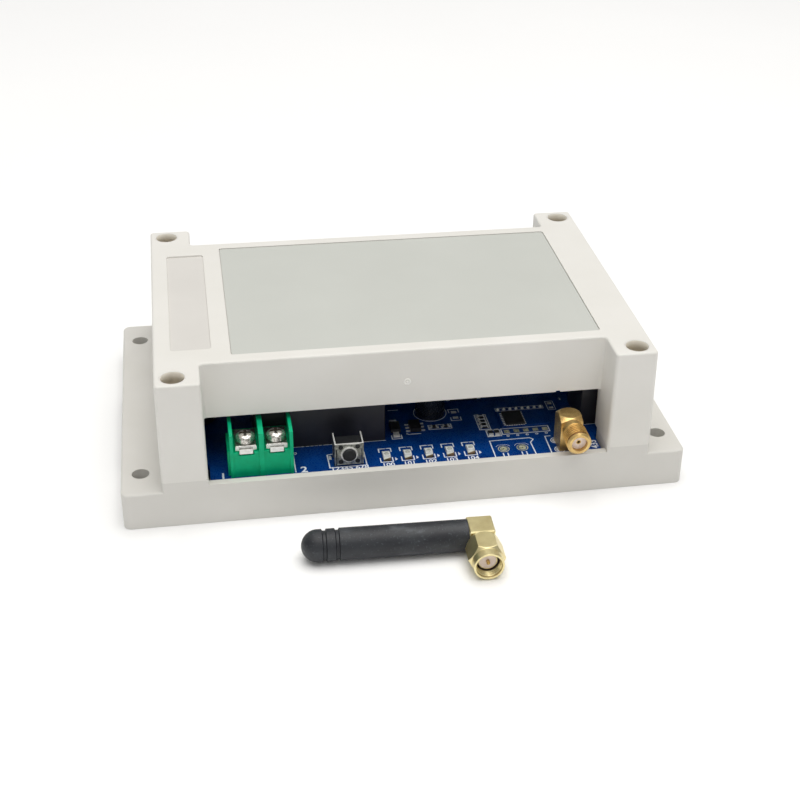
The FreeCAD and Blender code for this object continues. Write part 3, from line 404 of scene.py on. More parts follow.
def make_metals():
    return {
        "gold": surface("gold_plate", (0.56, 0.36, 0.13), (0.78, 0.56, 0.22), 2.2,
                        (0.24, 0.38), 0.2, 0.002, 0.75),
        # The thread's gold is a darker, more orange copy of the plate's gold, as painted shade of its
        # grooves; the roots are painted darker still as shade.
        "thread_gold_painted_shade": surface("gold_thread_painted_shade", (0.5, 0.27, 0.07), (0.72, 0.45, 0.14), 1.4,
                               (0.24, 0.36), 0.2, 0.002, 0.8),
        "thread_groove_painted_shade": surface("thread_groove_painted_shade", (0.16, 0.07, 0.02), (0.3, 0.15, 0.04), 1.0,
                               (0.4, 0.5), 0.2, 0.0, 0.6),
        # Pale gold on rims and slanted edges: painted highlight.
        "gold_painted_highlight": surface("gold_painted_highlight", (0.86, 0.76, 0.44), (0.97, 0.9, 0.6), 0.9,
                             (0.4, 0.5), 0.2, 0.0, 0.4),
        "pale_gold": metal("pale_gold_plate", (0.76, 0.65, 0.34), (0.9, 0.8, 0.46), 3.0,
                           (0.3, 0.46), 0.14, 0.003),
        "screw": surface("screw_steel", (0.24, 0.22, 0.19), (0.92, 0.9, 0.85), 0.45,
                         (0.18, 0.3), 0.18, 0.012, 0.85),
        "recess_painted_shade": surface("driver_recess_painted_shade", (0.016, 0.012, 0.008), (0.10, 0.07, 0.045), 0.5,
                          (0.5, 0.7), 0.12, 0.006),
        "steel": metal("bright_steel", (0.24, 0.23, 0.21), (0.66, 0.65, 0.62), 0.55,
                       (0.22, 0.42), 0.18, 0.01),
        # Pale, half-metal tone for edges, rims and pins: painted highlight.
        "painted_highlight": surface("pale_edge_painted_highlight", (0.8, 0.8, 0.77), (0.95, 0.95, 0.92), 0.8,
                          (0.4, 0.55), 0.18, 0.0, 0.4),
        "key_plate": metal("key_plate", (0.2, 0.21, 0.19), (0.6, 0.61, 0.56), 0.7,
                           (0.25, 0.45), 0.12, 0.006),
        "can": metal("drawn_can", (0.55, 0.55, 0.54), (0.74, 0.74, 0.73), 1.5,
                     (0.22, 0.36), 0.2, 0.006, (1.0, 5.0, 1.0)),
        "tin": surface("solder", (0.62, 0.62, 0.6), (0.97, 0.97, 0.95), 0.5,
                       (0.3, 0.5), 0.22, 0.015, 0.4),
    }


def make_board_looks():
    return {
        "board": board_material(),
        "silk": surface("silk_print", srgb(214, 221, 232), srgb(246, 248, 252), 0.5,
                        (0.5, 0.65), 0.1),
        "track": surface("covered_track", srgb(0, 54, 130), srgb(4, 68, 150), 0.8,
                         (0.24, 0.32), 0.2),
        "flux": surface("tinned_pad", srgb(112, 118, 88), srgb(206, 206, 180), 0.6,
                        (0.35, 0.5), 0.2, 0.01),
        # Near-black discs over drilled holes: painted shade of the holes.
        "hole": surface("drilled_hole_painted_shade", grey(0.004), grey(0.012), 0.3, (0.6, 0.8), 0.1),
        "blue_disc": surface("disc_lacquer", srgb(8, 48, 140), srgb(14, 66, 170), 2.0,
                             (0.22, 0.35), 0.5, 0.02),
        "ceramic": surface("ceramic", (0.010, 0.011, 0.013), (0.022, 0.023, 0.026), 0.5,
                           (0.3, 0.5), 0.1, 0.006),
        "lamp_foot": surface("lamp_foot", srgb(34, 40, 16), srgb(128, 96, 62), 1.3,
                             (0.4, 0.6), 0.12),
    }


def board_material():
    """Blue solder mask over copper: broad tone changes, a faint weave of the glass below, a clear gloss."""
    material, tree, shader = new_material("solder_mask")
    base = between(tree, noise(tree, 5.0), patch_stops, srgb(0, 46, 112), srgb(3, 63, 138))
    weave = add_node(tree, "ShaderNodeTexWave", wave_type="BANDS", bands_direction="DIAGONAL")
    weave.inputs["Scale"].default_value = 1.2 / mm
    weave.inputs["Distortion"].default_value = 0.6
    tree.links.new(place_of(tree), weave.inputs["Vector"])
    shade = between(tree, weave.outputs["Fac"], (0.0, 1.0), grey(0.0), grey(0.12))
    tree.links.new(blend_colours(tree, shade, base, srgb(2, 72, 152)), shader.inputs["Base Color"])
    gloss = between(tree, noise(tree, 0.3, 2.0), grain_stops, grey(0.24), grey(0.34))
    tree.links.new(gloss, shader.inputs["Roughness"])
    bumped(tree, shader, weave.outputs["Fac"], 0.004, 0.5)
    shader.inputs["Specular IOR Level"].default_value = 0.3
    return material


def rubber_material():
    """Dark grey rubber with pale handling dust that gathers in streaks along the mast."""
    material, tree, shader = new_material("mast_rubber")
    cloud = noise(tree, 3.2, 6.0, (0.45, 1.0, 1.0))
    speck = noise(tree, 0.5, 5.0)
    base = ramp(tree, cloud, [(0.34, srgb(27, 29, 35)), (0.58, srgb(42, 45, 50)), (0.78, srgb(84, 88, 93))])
    dusty = between(tree, speck, (0.58, 0.8), grey(0.0), grey(0.35))
    tree.links.new(blend_colours(tree, dusty, base, srgb(128, 133, 138)), shader.inputs["Base Color"])
    gloss = between(tree, speck, patch_stops, grey(0.42), grey(0.62))
    tree.links.new(gloss, shader.inputs["Roughness"])
    bumped(tree, shader, speck, 0.02, 0.5)
    return material


def make_studio():
    scene = bpy.context.scene
    scene.view_settings.view_transform = "Standard"
    world = bpy.data.worlds.new("studio")
    scene.world = world
    world.use_nodes = True
    tree = world.node_tree
    where = add_node(tree, "ShaderNodeTexCoord")
    split = add_node(tree, "ShaderNodeSeparateXYZ")
    tree.links.new(where.outputs["Generated"], split.inputs["Vector"])
    tone = ramp(tree, split.outputs["Z"],
                [(0.0, grey(sky_low)), (sky_bend, grey(sky_low)), (1.0, grey(sky_high))])
    tree.links.new(tone, tree.nodes["Background"].inputs["Color"])
    add_light("top_light", top_light_place, top_light_aim, top_light_size, top_light_power, top_light_colour)
    add_light("front_card", card_place, card_aim, card_size, card_power, card_colour)
    mesh = bpy.data.meshes.new("floor")
    mesh.from_pydata([(x * floor_size / 2, y * floor_size / 2, 0) for x, y in corners], [], [(0, 1, 2, 3)])
    mesh.materials.append(surface("paper_floor", (0.97, 0.972, 0.975), (0.985, 0.987, 0.99), 120.0,
                                  (0.8, 0.9), 4.0))
    floor = bpy.data.objects.new("floor", mesh)
    scene.collection.objects.link(floor)
    floor.location.z = -floor_gap_mm * mm


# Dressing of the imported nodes

def add_finish(item, bevel_mm, angle=soft_edge_angle):
    """Weld the facets of an object and break its sharp edges."""
    weld = item.modifiers.new("weld", "WELD")
    weld.merge_threshold = weld_mm * mm
    bevel = item.modifiers.new("soft_edges", "BEVEL")
    bevel.width = bevel_mm * mm
    bevel.segments = 2
    bevel.limit_method = "ANGLE"
    bevel.angle_limit = math.radians(angle)
    bevel.use_clamp_overlap = True
    bevel.harden_normals = True


def drop_normals(mesh):
    """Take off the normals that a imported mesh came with."""
    packed_normals = mesh.attributes.get("custom_normal")
    if packed_normals:
        mesh.attributes.remove(packed_normals)


def dress(name, materials, choose=None, bevel_mm=soft_edge_mm):
    """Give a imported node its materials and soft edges.

    choose(face) picks the material of each face, by its number in the list.
    """
    item = nodes[name]
    mesh = item.data
    mesh.materials.clear()
    for key in materials:
        mesh.materials.append(looks[key])
    for face in mesh.polygons:
        face.use_smooth = True
        face.material_index = choose(face) if choose else 0
    drop_normals(mesh)
    add_finish(item, bevel_mm)


def box_mm(name):
    """Lowest and highest corner of a node, in millimetres."""
    low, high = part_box(name)
    return low / mm, high / mm


def middle_mm(name):
    low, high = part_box(name)
    return (low + high) / 2 / mm


def solids_of(name):
    """Lowest and highest corner of every separate solid in a node, in millimetres, from left to right."""
    work = bmesh.new()
    work.from_mesh(nodes[name].data)
    bmesh.ops.remove_doubles(work, verts=work.verts, dist=join_mm * mm)
    boxes = []
    seen = set()
    for start in work.verts:
        if start in seen:
            continue
        seen.add(start)
        island = [start]
        for vertex in island:
            for edge in vertex.link_edges:
                other = edge.other_vert(vertex)
                if other not in seen:
                    seen.add(other)
                    island.append(other)
        low = Vector([min(v.co[i] for v in island) / mm for i in range(3)])
        high = Vector([max(v.co[i] for v in island) / mm for i in range(3)])
        boxes.append((low, high))
    work.free()
    return sorted(boxes, key=lambda box: (round(box[0].x, 2), box[0].y))


# Building blocks for new pieces. Places and sizes are in millimetres.

def piece(name, mesh, materials, body, choose=None, smooth=True):
    """New object that rides on a body. choose(face) picks its materials as in dress."""
    item = bpy.data.objects.new(name, mesh)
    bpy.context.scene.collection.objects.link(item)
    for key in materials:
        mesh.materials.append(looks[key])
    for face in mesh.polygons:
        face.use_smooth = smooth
        if choose:
            face.material_index = choose(face)
    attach(item, body)
    return item


def mesh_from(name, work, outward=True):
    """Mesh of all that a bmesh holds, with its faces turned outward if asked."""
    mesh = bpy.data.meshes.new(name)
    if outward:
        bmesh.ops.recalc_face_normals(work, faces=work.faces)
    work.to_mesh(mesh)
    work.free()
    drop_normals(mesh)
    return mesh


def circle(x, y, z, radius, sides):
    """Points of a level circle, in metres."""
    turns = [2 * math.pi * i / sides for i in range(sides)]
    return [Vector((x + radius * math.cos(turn), y + radius * math.sin(turn), z)) * mm for turn in turns]


def add_rings(work, rings, around=True, capped=True):
    """Faces between rings of points, each ring closed, the last joined to the first if around is set."""
    made = [[work.verts.new(point) for point in ring] for ring in rings]
    pairs = list(zip(made, made[1:])) + ([(made[-1], made[0])] if around else [])
    for near, far in pairs:
        for i in range(len(near)):
            j = (i + 1) % len(near)
            work.faces.new((near[i], near[j], far[j], far[i]))
    if capped and not around:
        work.faces.new(made[0])
        work.faces.new(made[-1])


def add_line(work, points, z, width=line_mm, closed=False):
    """Flat mitred line through points on a level surface."""
    count = len(points)
    points = [Vector(point) for point in points]
    rings = []
    for i, point in enumerate(points):
        before = points[i - 1] if i > 0 or closed else None
        after = points[(i + 1) % count] if i < count - 1 or closed else None
        ways = [(b - a).normalized() for a, b in ((before, point), (point, after)) if a and b]
        normals = [Vector((-way.y, way.x)) for way in ways]
        mitre = sum(normals, Vector((0, 0))).normalized()
        reach = mitre * (width / 2 / max(mitre.dot(normals[0]), sharpest_mitre))
        left = point + reach
        right = point - reach
        top = z + print_thickness_mm
        rings.append([Vector((p.x, p.y, height)) * mm
                      for p, height in ((left, z), (right, z), (right, top), (left, top))])
    add_rings(work, rings, around=closed)


def add_patch(work, points, z):
    """Flat filled shape."""
    rings = [[Vector((x, y, height)) * mm for x, y in points] for height in (z, z + print_thickness_mm)]
    add_rings(work, rings, around=False)


def add_frame(work, x0, x1, y0, y1, z, width):
    """Closed rectangular outline."""
    add_line(work, [(x0, y0), (x1, y0), (x1, y1), (x0, y1)], z, width, closed=True)


def add_disc(work, x, y, z, radius, thickness, hole=0.0, sides=24):
    """Flat disc or ring with a softened upper rim."""
    soft = min(thickness, radius * disc_rim_share)
    profile = [(radius, z), (radius, z + thickness - soft * 0.6), (radius - soft, z + thickness)]
    if hole:
        profile += [(hole + soft * 0.6, z + thickness), (hole, z + thickness * 0.4), (hole, z)]
    else:
        profile += [(radius * 0.4, z + thickness)]
    add_rings(work, [circle(x, y, height, r, sides) for r, height in profile], around=bool(hole))


def add_mound(work, x, y, z, length, width, height):
    """Low rectangular pad of solder with sloping sides."""
    slope = min(length, width) * mound_slope_share
    rings = []
    for inset, rise in ((0.0, 0.0), (slope * 0.3, height * 0.6), (slope, height)):
        a = length / 2 - inset
        b = width / 2 - inset
        rings.append([Vector((x + sx * a, y + sy * b, z + rise)) * mm for sx, sy in corners])
    add_rings(work, rings, around=False)


def add_dome(work, x, y, z, radius, height, sides=20, steps=5):
    """Low round dome."""
    angles = [math.pi / 2 * step / steps for step in range(steps)]
    rings = [circle(x, y, z + height * math.sin(a), radius * math.cos(a), sides) for a in angles]
    add_rings(work, rings, around=False)


def add_digits(work, text, x, y, z, height, turn=0.0):
    """Plain number printed flat on a level surface, its middle at x and y."""
    curve = bpy.data.curves.new("digits", "FONT")
    curve.body = text
    curve.size = height * digit_size_share * mm
    curve.align_x = "CENTER"
    curve.align_y = "CENTER"
    curve.extrude = print_thickness_mm / 2 * mm
    curve.offset = height * digit_swell_share * mm
    curve.resolution_u = 4
    maker = bpy.data.objects.new("digits", curve)
    bpy.context.scene.collection.objects.link(maker)
    bpy.context.view_layer.update()
    mesh = bpy.data.meshes.new_from_object(maker.evaluated_get(bpy.context.evaluated_depsgraph_get()))
    bpy.data.objects.remove(maker)
    bpy.data.curves.remove(curve)
    mesh.transform(Matrix.Translation(Vector((x, y, z)) * mm) @ Matrix.Rotation(math.radians(turn), 4, "Z"))
    work.from_mesh(mesh)
    bpy.data.meshes.remove(mesh)


def threaded_wall(length, radius, depth, relief=0.0, sides=56, steps=9):
    """Open tube along +Y from the origin, its radius cut in along a helix that fades at both ends.

    The first stretch, as long as relief, is cut in all round.
    """
    work = bmesh.new()
    rows = round(length / thread_pitch_mm * steps)
    fade_length = thread_pitch_mm * thread_fade_turns
    rings = []
    for row in range(rows + 1):
        along = length * row / rows
        fade = min(1.0, along / fade_length, (length - along) / fade_length)
        ring = []
        for i in range(sides):
            angle = 2 * math.pi * i / sides
            phase = (along / thread_pitch_mm + i / sides) % 1.0
            groove = min(1.0, max(0.0, groove_slope * (1 - abs(2 * phase - 1)) - groove_crest))
            if along < relief:
                groove = 1.0
            r = radius - depth * fade * groove
            ring.append(Vector((r * math.cos(angle), along, r * math.sin(angle))) * mm)
        rings.append(ring)
    add_rings(work, rings, around=False, capped=False)
    return work


# Which of its materials a face gets

def recess_of(boxes):
    """Chooser: 1 inside the driver crosses of screws with these boxes, painted near black as their shade, 0
    elsewhere.
    """
    def choose(face):
        point = face.center / mm
        for low, high in boxes:
            x = abs(point.x - (low.x + high.x) / 2)
            y = abs(point.y - (low.y + high.y) / 2)
            if min(x, y) < cross_half_width_mm and max(x, y) < cross_half_length_mm:
                if point.z > high.z - cross_depth_mm:
                    return 1
        return 0
    return choose


def legs_outside(name, half_mm, axis):
    """Chooser: 0 for a chip's body, 1 for what stands out beyond its sides along an axis."""
    centre = middle_mm(name)

    def choose(face):
        return 1 if abs(face.center[axis] / mm - centre[axis]) > half_mm else 0
    return choose


def upright_edge(face):
    """0 on the level sides of a sheet, 1 on its edges, which are painted pale as highlight."""
    return 1 if abs(face.normal.z) < edge_facing else 0


def lip_part(face):
    """0 on a lip's top, 1 on its wall, which is painted paler than the cover as light."""
    return 0 if face.normal.z > lip_facing else 1


def varistor_part(face):
    """0 on the disc, 1 on the legs below it."""
    return 1 if face.center.z / mm < board_top + varistor_leg_mm else 0


def cover_part(face):
    """0 on the cover, 1 on the marking strip's floor, painted darker as shade, 2 in the screw bores, painted
    paler as light.
    """
    point = face.center / mm
    sunk = cover_high.z - strip_depth_mm < point.z < cover_high.z - top_margin_mm
    if face.normal.z > level_facing and sunk and point.x < cover_low.x + strip_reach_mm:
        return 1
    for screw in cover_screws:
        if math.hypot(point.x - screw.x, point.y - screw.y) < cover_bore_mm + top_margin_mm:
            return 2
    return 0


def box_under(point, boxes):
    """The first of the boxes that holds a point, seen from above."""
    x = point.x + box_slack_mm / 2
    y = point.y + box_slack_mm / 2
    for low, high in boxes:
        if low.x < x < high.x + box_slack_mm and low.y < y < high.y + box_slack_mm:
            return low, high
    return None


def chip_part(face):
    """0 on a chip part's dark middle, 1 on its end caps."""
    point = face.center / mm
    found = box_under(point, chips)
    if not found:
        return 0
    low, high = found
    way = 0 if high.x - low.x > high.y - low.y else 1
    return 1 if min(point[way] - low[way], high[way] - point[way]) < chip_cap_mm else 0


def lamp_part(face):
    """0 on the lens block, 1 on the body round it, 2 on the soldered front end."""
    point = face.center / mm
    found = box_under(point, lamps)
    if not found:
        return 1
    if point.z > board_top + lamp_base_mm:
        return 0
    return 2 if point.y < found[0].y + lamp_foot_mm else 1


def key_part(face):
    """0 on the plate, 1 on the ring and the upper edges and arms, 2 on the four pegs. The ring is a pale
    metal ring painted paler as highlight; the upper edges and arms are painted pale as highlight.
    """
    point = face.center / mm
    x = point.x - key_axis.x
    z = point.z - key_axis.z
    if z > key_arm_mm:
        return 1
    if point.y > key_low.y + key_plate_depth_mm:
        return 0
    if math.hypot(x, z) < key_ring_reach_mm:
        return 1
    on_peg = math.hypot(abs(x) - key_peg_reach_mm, abs(z) - key_peg_reach_mm) < key_peg_radius_mm
    return 2 if on_peg else 0


def thread_part(face):
    """0 on the crests of the jack's thread, 1 in its grooves. The grooves are painted near black as their
    shade.
    """
    reach = math.hypot(face.center.x / mm - jack_axis.x, face.center.z / mm - jack_axis.z)
    return 1 if reach < thread_radius_mm - thread_root_share * thread_depth_mm else 0


looks = {**make_plastics(), **make_metals(), **make_board_looks()}
place_camera()
make_studio()

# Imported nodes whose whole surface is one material: material, softening of the edges in millimetres, nodes
plain_looks = [
    ("tray", 0.12, ["base_tray"]),
    ("label", 0.06, ["front_label"]),
    ("board", 0.05, ["circuit_board", "radio_board"]),
    ("clip", 0.12, ["rail_clip_left", "rail_clip_right"]),
    ("green", 0.1, ["input_terminal_body", "output_terminal_body"]),
    ("black_case", 0.1, ["power_module", "relays", "filter_capacitor", "fuse"]),
    ("chip", 0.05, ["radio_chip"]),
    # The radio board's pins are painted pale as highlight.
    ("painted_highlight", 0.04, ["radio_pins"]),
    ("sleeve", 0.06, ["smoothing_capacitor"]),
    ("can", 0.05, ["crystal"]),
    ("key_black", 0.05, ["learn_key_body", "learn_key_plunger"]),
    ("rubber", 0.1, ["antenna_mast"]),
    ("pale_gold", 0.09, ["antenna_elbow"]),
    ("insulator", 0.04, ["antenna_insulator", "antenna_jack_insulator"]),
    ("gold", 0.04, ["antenna_pin", "antenna_jack_contact"]),
]
for key, width, names in plain_looks:
    for name in names:
        dress(name, [key], bevel_mm=width)

# Screws, their driver crosses painted dark as shade, and the washers and plates that they clamp, their edges
# painted pale as highlight
terminal_screws = [name for name in nodes if "_screw_" in name]
terminal_washers = [name for name in nodes if "_washer_" in name]
for name in terminal_screws + ["cover_screws", "board_screws"]:
    dress(name, ["screw", "recess_painted_shade"], recess_of(solids_of(name)))
for name in terminal_washers + ["input_terminal_plates", "output_terminal_plates"]:
    dress(name, ["steel", "painted_highlight"], upright_edge)

# Parts with legs: half the width of the body in millimetres, and the axis that the legs lie along
legged_parts = [
    ("controller_chip", 3.76, 0),
    ("relay_driver_chip", 1.96, 1),
    ("voltage_regulator", 1.46, 0),
    ("rectifier_diode", 2.11, 1),
]
for name, half_mm, axis in legged_parts:
    dress(name, ["chip", "tin"], legs_outside(name, half_mm, axis))

board_low, board_high = box_mm("circuit_board")
board_top = board_high.z
mark_z = board_top + print_lift_mm
dress("varistor", ["blue_disc", "tin"], varistor_part)

# Cover: its own plastic, a slightly deeper tone on the floor of the marking strip as painted shade, a pale
# one in the bores as painted light
cover_low, cover_high = box_mm("top_cover")
cover_screws = [(low + high) / 2 for low, high in solids_of("cover_screws")]
cover_points = [v.co / mm for v in nodes["top_cover"].data.vertices]
top_points = [point for point in cover_points if point.z > cover_high.z - level_tolerance_mm]
cover_bore_mm = min(math.hypot(p.x - s.x, p.y - s.y) for p in top_points for s in cover_screws)
dress("top_cover", ["cover", "strip", "bore_painted_light"], cover_part, bevel_mm=0.3)

# Lips that narrow the mouths of the screw bores, their walls painted pale as light
work = bmesh.new()
lip_back_mm = cover_bore_mm + top_margin_mm
lip_profile = [(lip_back_mm, lip_depth_mm), (lip_radius_mm, lip_depth_mm), (lip_radius_mm, lip_edge_mm),
               (lip_radius_mm + lip_edge_mm, 0.0), (lip_back_mm, 0.0)]
for screw in cover_screws:
    rings = [circle(screw.x, screw.y, cover_high.z - down, r, round_sides) for r, down in lip_profile]
    add_rings(work, rings)
piece("bore_lips", mesh_from("bore_lips", work), ["cover", "bore_painted_light"], "housing", lip_part)

# Ring and pip on the moulding gate's mark, on the cover's front, painted whiter than the cover as highlight
gate_points = [point for point in cover_points
               if math.hypot(point.x, point.z - gate_height_mm) < gate_radius_mm and point.y < 0]
gate_front = min(point.y for point in gate_points)
work = bmesh.new()
add_disc(work, 0.0, 0.0, 0.0, gate_ring_mm, gate_ring_height_mm, gate_ring_hole_mm)
add_disc(work, 0.0, 0.0, 0.0, gate_pip_mm, gate_ring_height_mm)
gate_place = Matrix.Translation(Vector((0.0, gate_front + gate_ring_sink_mm, gate_height_mm)) * mm)
bmesh.ops.transform(work, matrix=gate_place @ Matrix.Rotation(math.pi / 2, 4, "X"), verts=work.verts)
piece("gate_ring", mesh_from("gate_ring", work), ["gate"], "housing")

# Small parts of several materials, and the lamps' domes
chips = solids_of("chip_resistors")
lamps = solids_of("status_leds")
key_axis = middle_mm("learn_key_plunger")
key_low, key_high = box_mm("learn_key_bracket")
dress("chip_resistors", ["ceramic", "tin"], chip_part, bevel_mm=0.03)
dress("status_leds", ["lens", "lamp_base", "lamp_foot"], lamp_part, bevel_mm=0.04)
dress("learn_key_bracket", ["key_plate", "painted_highlight", "key_black"], key_part, bevel_mm=0.06)
work = bmesh.new()
for low, high in lamps:
    add_dome(work, (low.x + high.x) / 2, (low.y + high.y) / 2, high.z - lamp_dome_sink_mm,
             lamp_dome_radius_mm, lamp_dome_height_mm)
piece("lamp_domes", mesh_from("lamp_domes", work), ["dome"], "housing")

# Jack with its thread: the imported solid's own faces, less the plain wall of the thread
jack_axis = middle_mm("antenna_jack_contact")
jack_low, jack_high = box_mm("antenna_jack_body")
thread_front = jack_low.y + thread_chamfer_mm
thread_back = jack_low.y + thread_length_mm


def on_thread_wall(face):
    """Whether a face of the jack's solid is part of the thread's plain wall."""
    points = [vertex.co / mm for vertex in face.verts]
    gaps = [abs(math.hypot(p.x - jack_axis.x, p.z - jack_axis.z) - thread_radius_mm) for p in points]
    inside = all(thread_front - wall_tolerance_mm < p.y < thread_back + wall_tolerance_mm for p in points)
    return inside and max(gaps) < wall_tolerance_mm


work = threaded_wall(thread_back - thread_front, thread_radius_mm, thread_depth_mm, thread_relief_mm)
bmesh.ops.translate(work, verts=work.verts, vec=Vector((jack_axis.x, thread_front, jack_axis.z)) * mm)
thread = piece("jack_thread", mesh_from("jack_thread", work), ["thread_gold_painted_shade", "thread_groove_painted_shade"],
               "housing", thread_part)
body = bmesh.new()
body.from_mesh(nodes["antenna_jack_body"].data)
bmesh.ops.delete(body, geom=[face for face in body.faces if on_thread_wall(face)], context="FACES")
jack = piece("antenna_jack", mesh_from("antenna_jack", body), ["gold", "gold_painted_highlight"], "housing")
add_finish(jack, jack_edge_mm, jack_edge_angle)
# The bevels round the jack's rims take the pale gold as painted highlight.
jack.modifiers["soft_edges"].material = 1
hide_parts("antenna_jack_body")
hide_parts("antenna_jack_body")

# Coupling nut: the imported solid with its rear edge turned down. Worked on with the nut's axis along Y.
spin = [joint for joint in frame["joints"] if joint["name"] == "antenna_nut_spin"][0]
spin_axis = Vector(spin["axis"])
spin_turn = Matrix.Rotation(math.atan2(spin_axis.x, -spin_axis.y), 4, "Z")
nut_place = Matrix.Translation(Vector(spin["pos_m"])) @ spin_turn
to_nut = nut_place.inverted()
nut_reach = [(to_nut @ vertex.co).y / mm for vertex in nodes["antenna_nut"].data.vertices]
nut_front = min(nut_reach)
nut_back = max(nut_reach)
body = bmesh.new()
body.from_mesh(nodes["antenna_nut"].data)
bmesh.ops.remove_doubles(body, verts=body.verts, dist=weld_mm * mm)
bmesh.ops.transform(body, matrix=to_nut, verts=body.verts)
for vertex in body.verts:
    reach = math.hypot(vertex.co.x, vertex.co.z) / mm
    if reach > nut_rim_mm + nut_rim_margin_mm and vertex.co.y / mm > nut_back - nut_edge_depth_mm:
        vertex.co.y = (nut_back - (reach - nut_rim_mm) * nut_rim_slope) * mm
body.normal_update()
# Slanted faces of the turned-down rear edge take the pale gold as painted highlight.
for face in body.faces:
    near_back = face.calc_center_median().y / mm > nut_back - nut_slant_depth_mm
    slanted = slant_facing[0] < face.normal.y < slant_facing[1]
    face.material_index = 1 if near_back and slanted else 0
bmesh.ops.transform(body, matrix=nut_place, verts=body.verts)
nut = piece("antenna_coupling", mesh_from("antenna_coupling", body), ["pale_gold", "gold_painted_highlight"],
            "antenna_coupling_nut")
add_finish(nut, nut_edge_mm, nut_edge_angle)
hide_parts("antenna_nut")

# Thread inside the nut, seen from within
work = threaded_wall(lining_length_mm, thread_radius_mm + lining_gap_mm, nut_thread_depth_mm)
lining_place = Matrix.Translation((0, (nut_front + lining_start_mm) * mm, 0))
bmesh.ops.transform(work, matrix=nut_place @ lining_place, verts=work.verts)
for face in work.faces:
    face.normal_flip()
lining = mesh_from("nut_thread", work, outward=False)
piece("nut_thread", lining, ["pale_gold"], "antenna_coupling_nut")

# Seal between the plug's sleeve and the nut: a dark red-brown ring, painted shade of the groove between them
plug_face = min((to_nut @ vertex.co).y for vertex in nodes["antenna_elbow"].data.vertices) / mm
seal_front = plug_face + seal_inset_mm
seal_back = seal_front + seal_length_mm
seal_profile = [(seal_inner_mm, seal_front), (seal_outer_mm, seal_front), (seal_outer_mm, seal_back),
                (seal_inner_mm, seal_back)]
work = bmesh.new()
seal_rings = []
for i in range(round_sides):
    angle = 2 * math.pi * i / round_sides
    seal_rings.append([Vector((r * math.cos(angle), y, r * math.sin(angle))) * mm for r, y in seal_profile])
add_rings(work, seal_rings)
bmesh.ops.transform(work, matrix=nut_place, verts=work.verts)
piece("plug_seal_painted_shade", mesh_from("plug_seal_painted_shade", work), ["seal"], "antenna")

# Marks and pads on the board, each set off from the box of the part that it belongs to. What the
# photograph shows was measured in it. What lies under the cover follows the same pattern.
marks = bmesh.new()
pads = bmesh.new()
holes = bmesh.new()
tinned = bmesh.new()
tracks = bmesh.new()
sill_edge = board_low.y + sill_cover_mm
number_row_y = sill_edge + 0.45
cut_y = board_low.y + 0.5


def draw(points, width=line_mm):
    """Printed line on the board."""
    add_line(marks, points, mark_z, width)


def draw_box(x0, x1, y0, y1, width=line_mm):
    """Printed rectangle on the board."""
    add_frame(marks, x0, x1, y0, y1, mark_z, width)


def draw_bracket(x0, x1, y, arm):
    """Printed open bracket with arms along Y."""
    draw([(x0, y + arm), (x0, y), (x1, y), (x1, y + arm)])


def draw_ring(x, y, outer, inner, sides=24):
    """Printed ring on the board."""
    add_disc(marks, x, y, mark_z, outer, print_thickness_mm, inner, sides)


def draw_number(text, x, y, height, turn=0.0):
    """Printed number on the board."""
    add_digits(marks, text, x, y, mark_z, height, turn)


def solder(x, y, length, width, height):
    """Mound of solder on the board."""
    add_mound(pads, x, y, board_top, length, width, height)


def mark_lamps():
    for i, (low, high) in enumerate(lamps):
        x = (low.x + high.x) / 2
        draw_bracket(x - 1.6, x + 1.55, high.y + 1.95, -1.7)
        draw_bracket(x - 1.7, x + 1.45, low.y - 0.3, 2.0)
        add_patch(marks, [(x + 2.05, low.y + 0.05), (x + 2.75, low.y + 0.65), (x + 2.15, low.y + 1.6)],
                  mark_z)
        draw_number("%d" % (first_lamp_number + i), x, number_row_y, 1.55)


def mark_key():
    draw([(key_low.x + 0.1, key_low.y + 6.2), (key_low.x - 1.4, key_low.y + 5.9),
          (key_low.x - 1.3, key_low.y - 0.15), (key_high.x + 0.75, key_low.y - 0.05),
          (key_high.x + 0.75, key_low.y + 6.0), (key_high.x - 0.2, key_low.y + 6.2)])
    draw_number("12345 678", key_axis.x, number_row_y, 1.6)
    for x in (key_low.x - 0.75, key_high.x + 0.4):
        solder(x, key_low.y + 4.6, 0.7, 1.7, 0.06)


def mark_supply():
    """Supply terminals and the power module behind them."""
    low, high = box_mm("input_terminal_body")
    draw_number("1", low.x - 1.4, sill_edge + 1.3, 2.5)
    draw_number("2", high.x + 2.6, sill_edge + 1.3, 2.5)
    draw([(high.x + 0.45, low.y + 9.6), (high.x + 0.45, low.y + 0.3)])
    draw_ring(high.x + 1.0, low.y + 9.1, 0.5, 0.28)
    low, high = box_mm("power_module")
    draw([(low.x + 0.3, low.y - 0.14), (high.x + 0.1, low.y - 0.14)], thin_line_mm)


def mark_regulator():
    """Diode, regulator and smoothing capacitor."""
    low, high = box_mm("rectifier_diode")
    draw_bracket(low.x - 0.05, high.x - 0.05, low.y - 1.2, 1.9)
    draw([(low.x + 0.8, high.y + 5.8), (high.x + 1.0, high.y + 5.8)])
    add_line(marks, [(low.x + 0.5, high.y - 1.5), (high.x - 0.5, high.y - 1.5)], high.z + print_lift_mm, 0.4)
    for y in (low.y + 0.35, high.y + 0.25):
        solder((low.x + high.x) / 2, y, 1.9, 1.6, 0.1)
    low, high = box_mm("voltage_regulator")
    draw([(low.x - 0.1, low.y - 0.35), (low.x + 0.5, low.y - 0.75), (high.x - 1.3, low.y - 0.8)])
    low, high = box_mm("smoothing_capacitor")
    draw_ring((low.x + high.x) / 2, (low.y + high.y) / 2, 4.55, 4.3, 56)


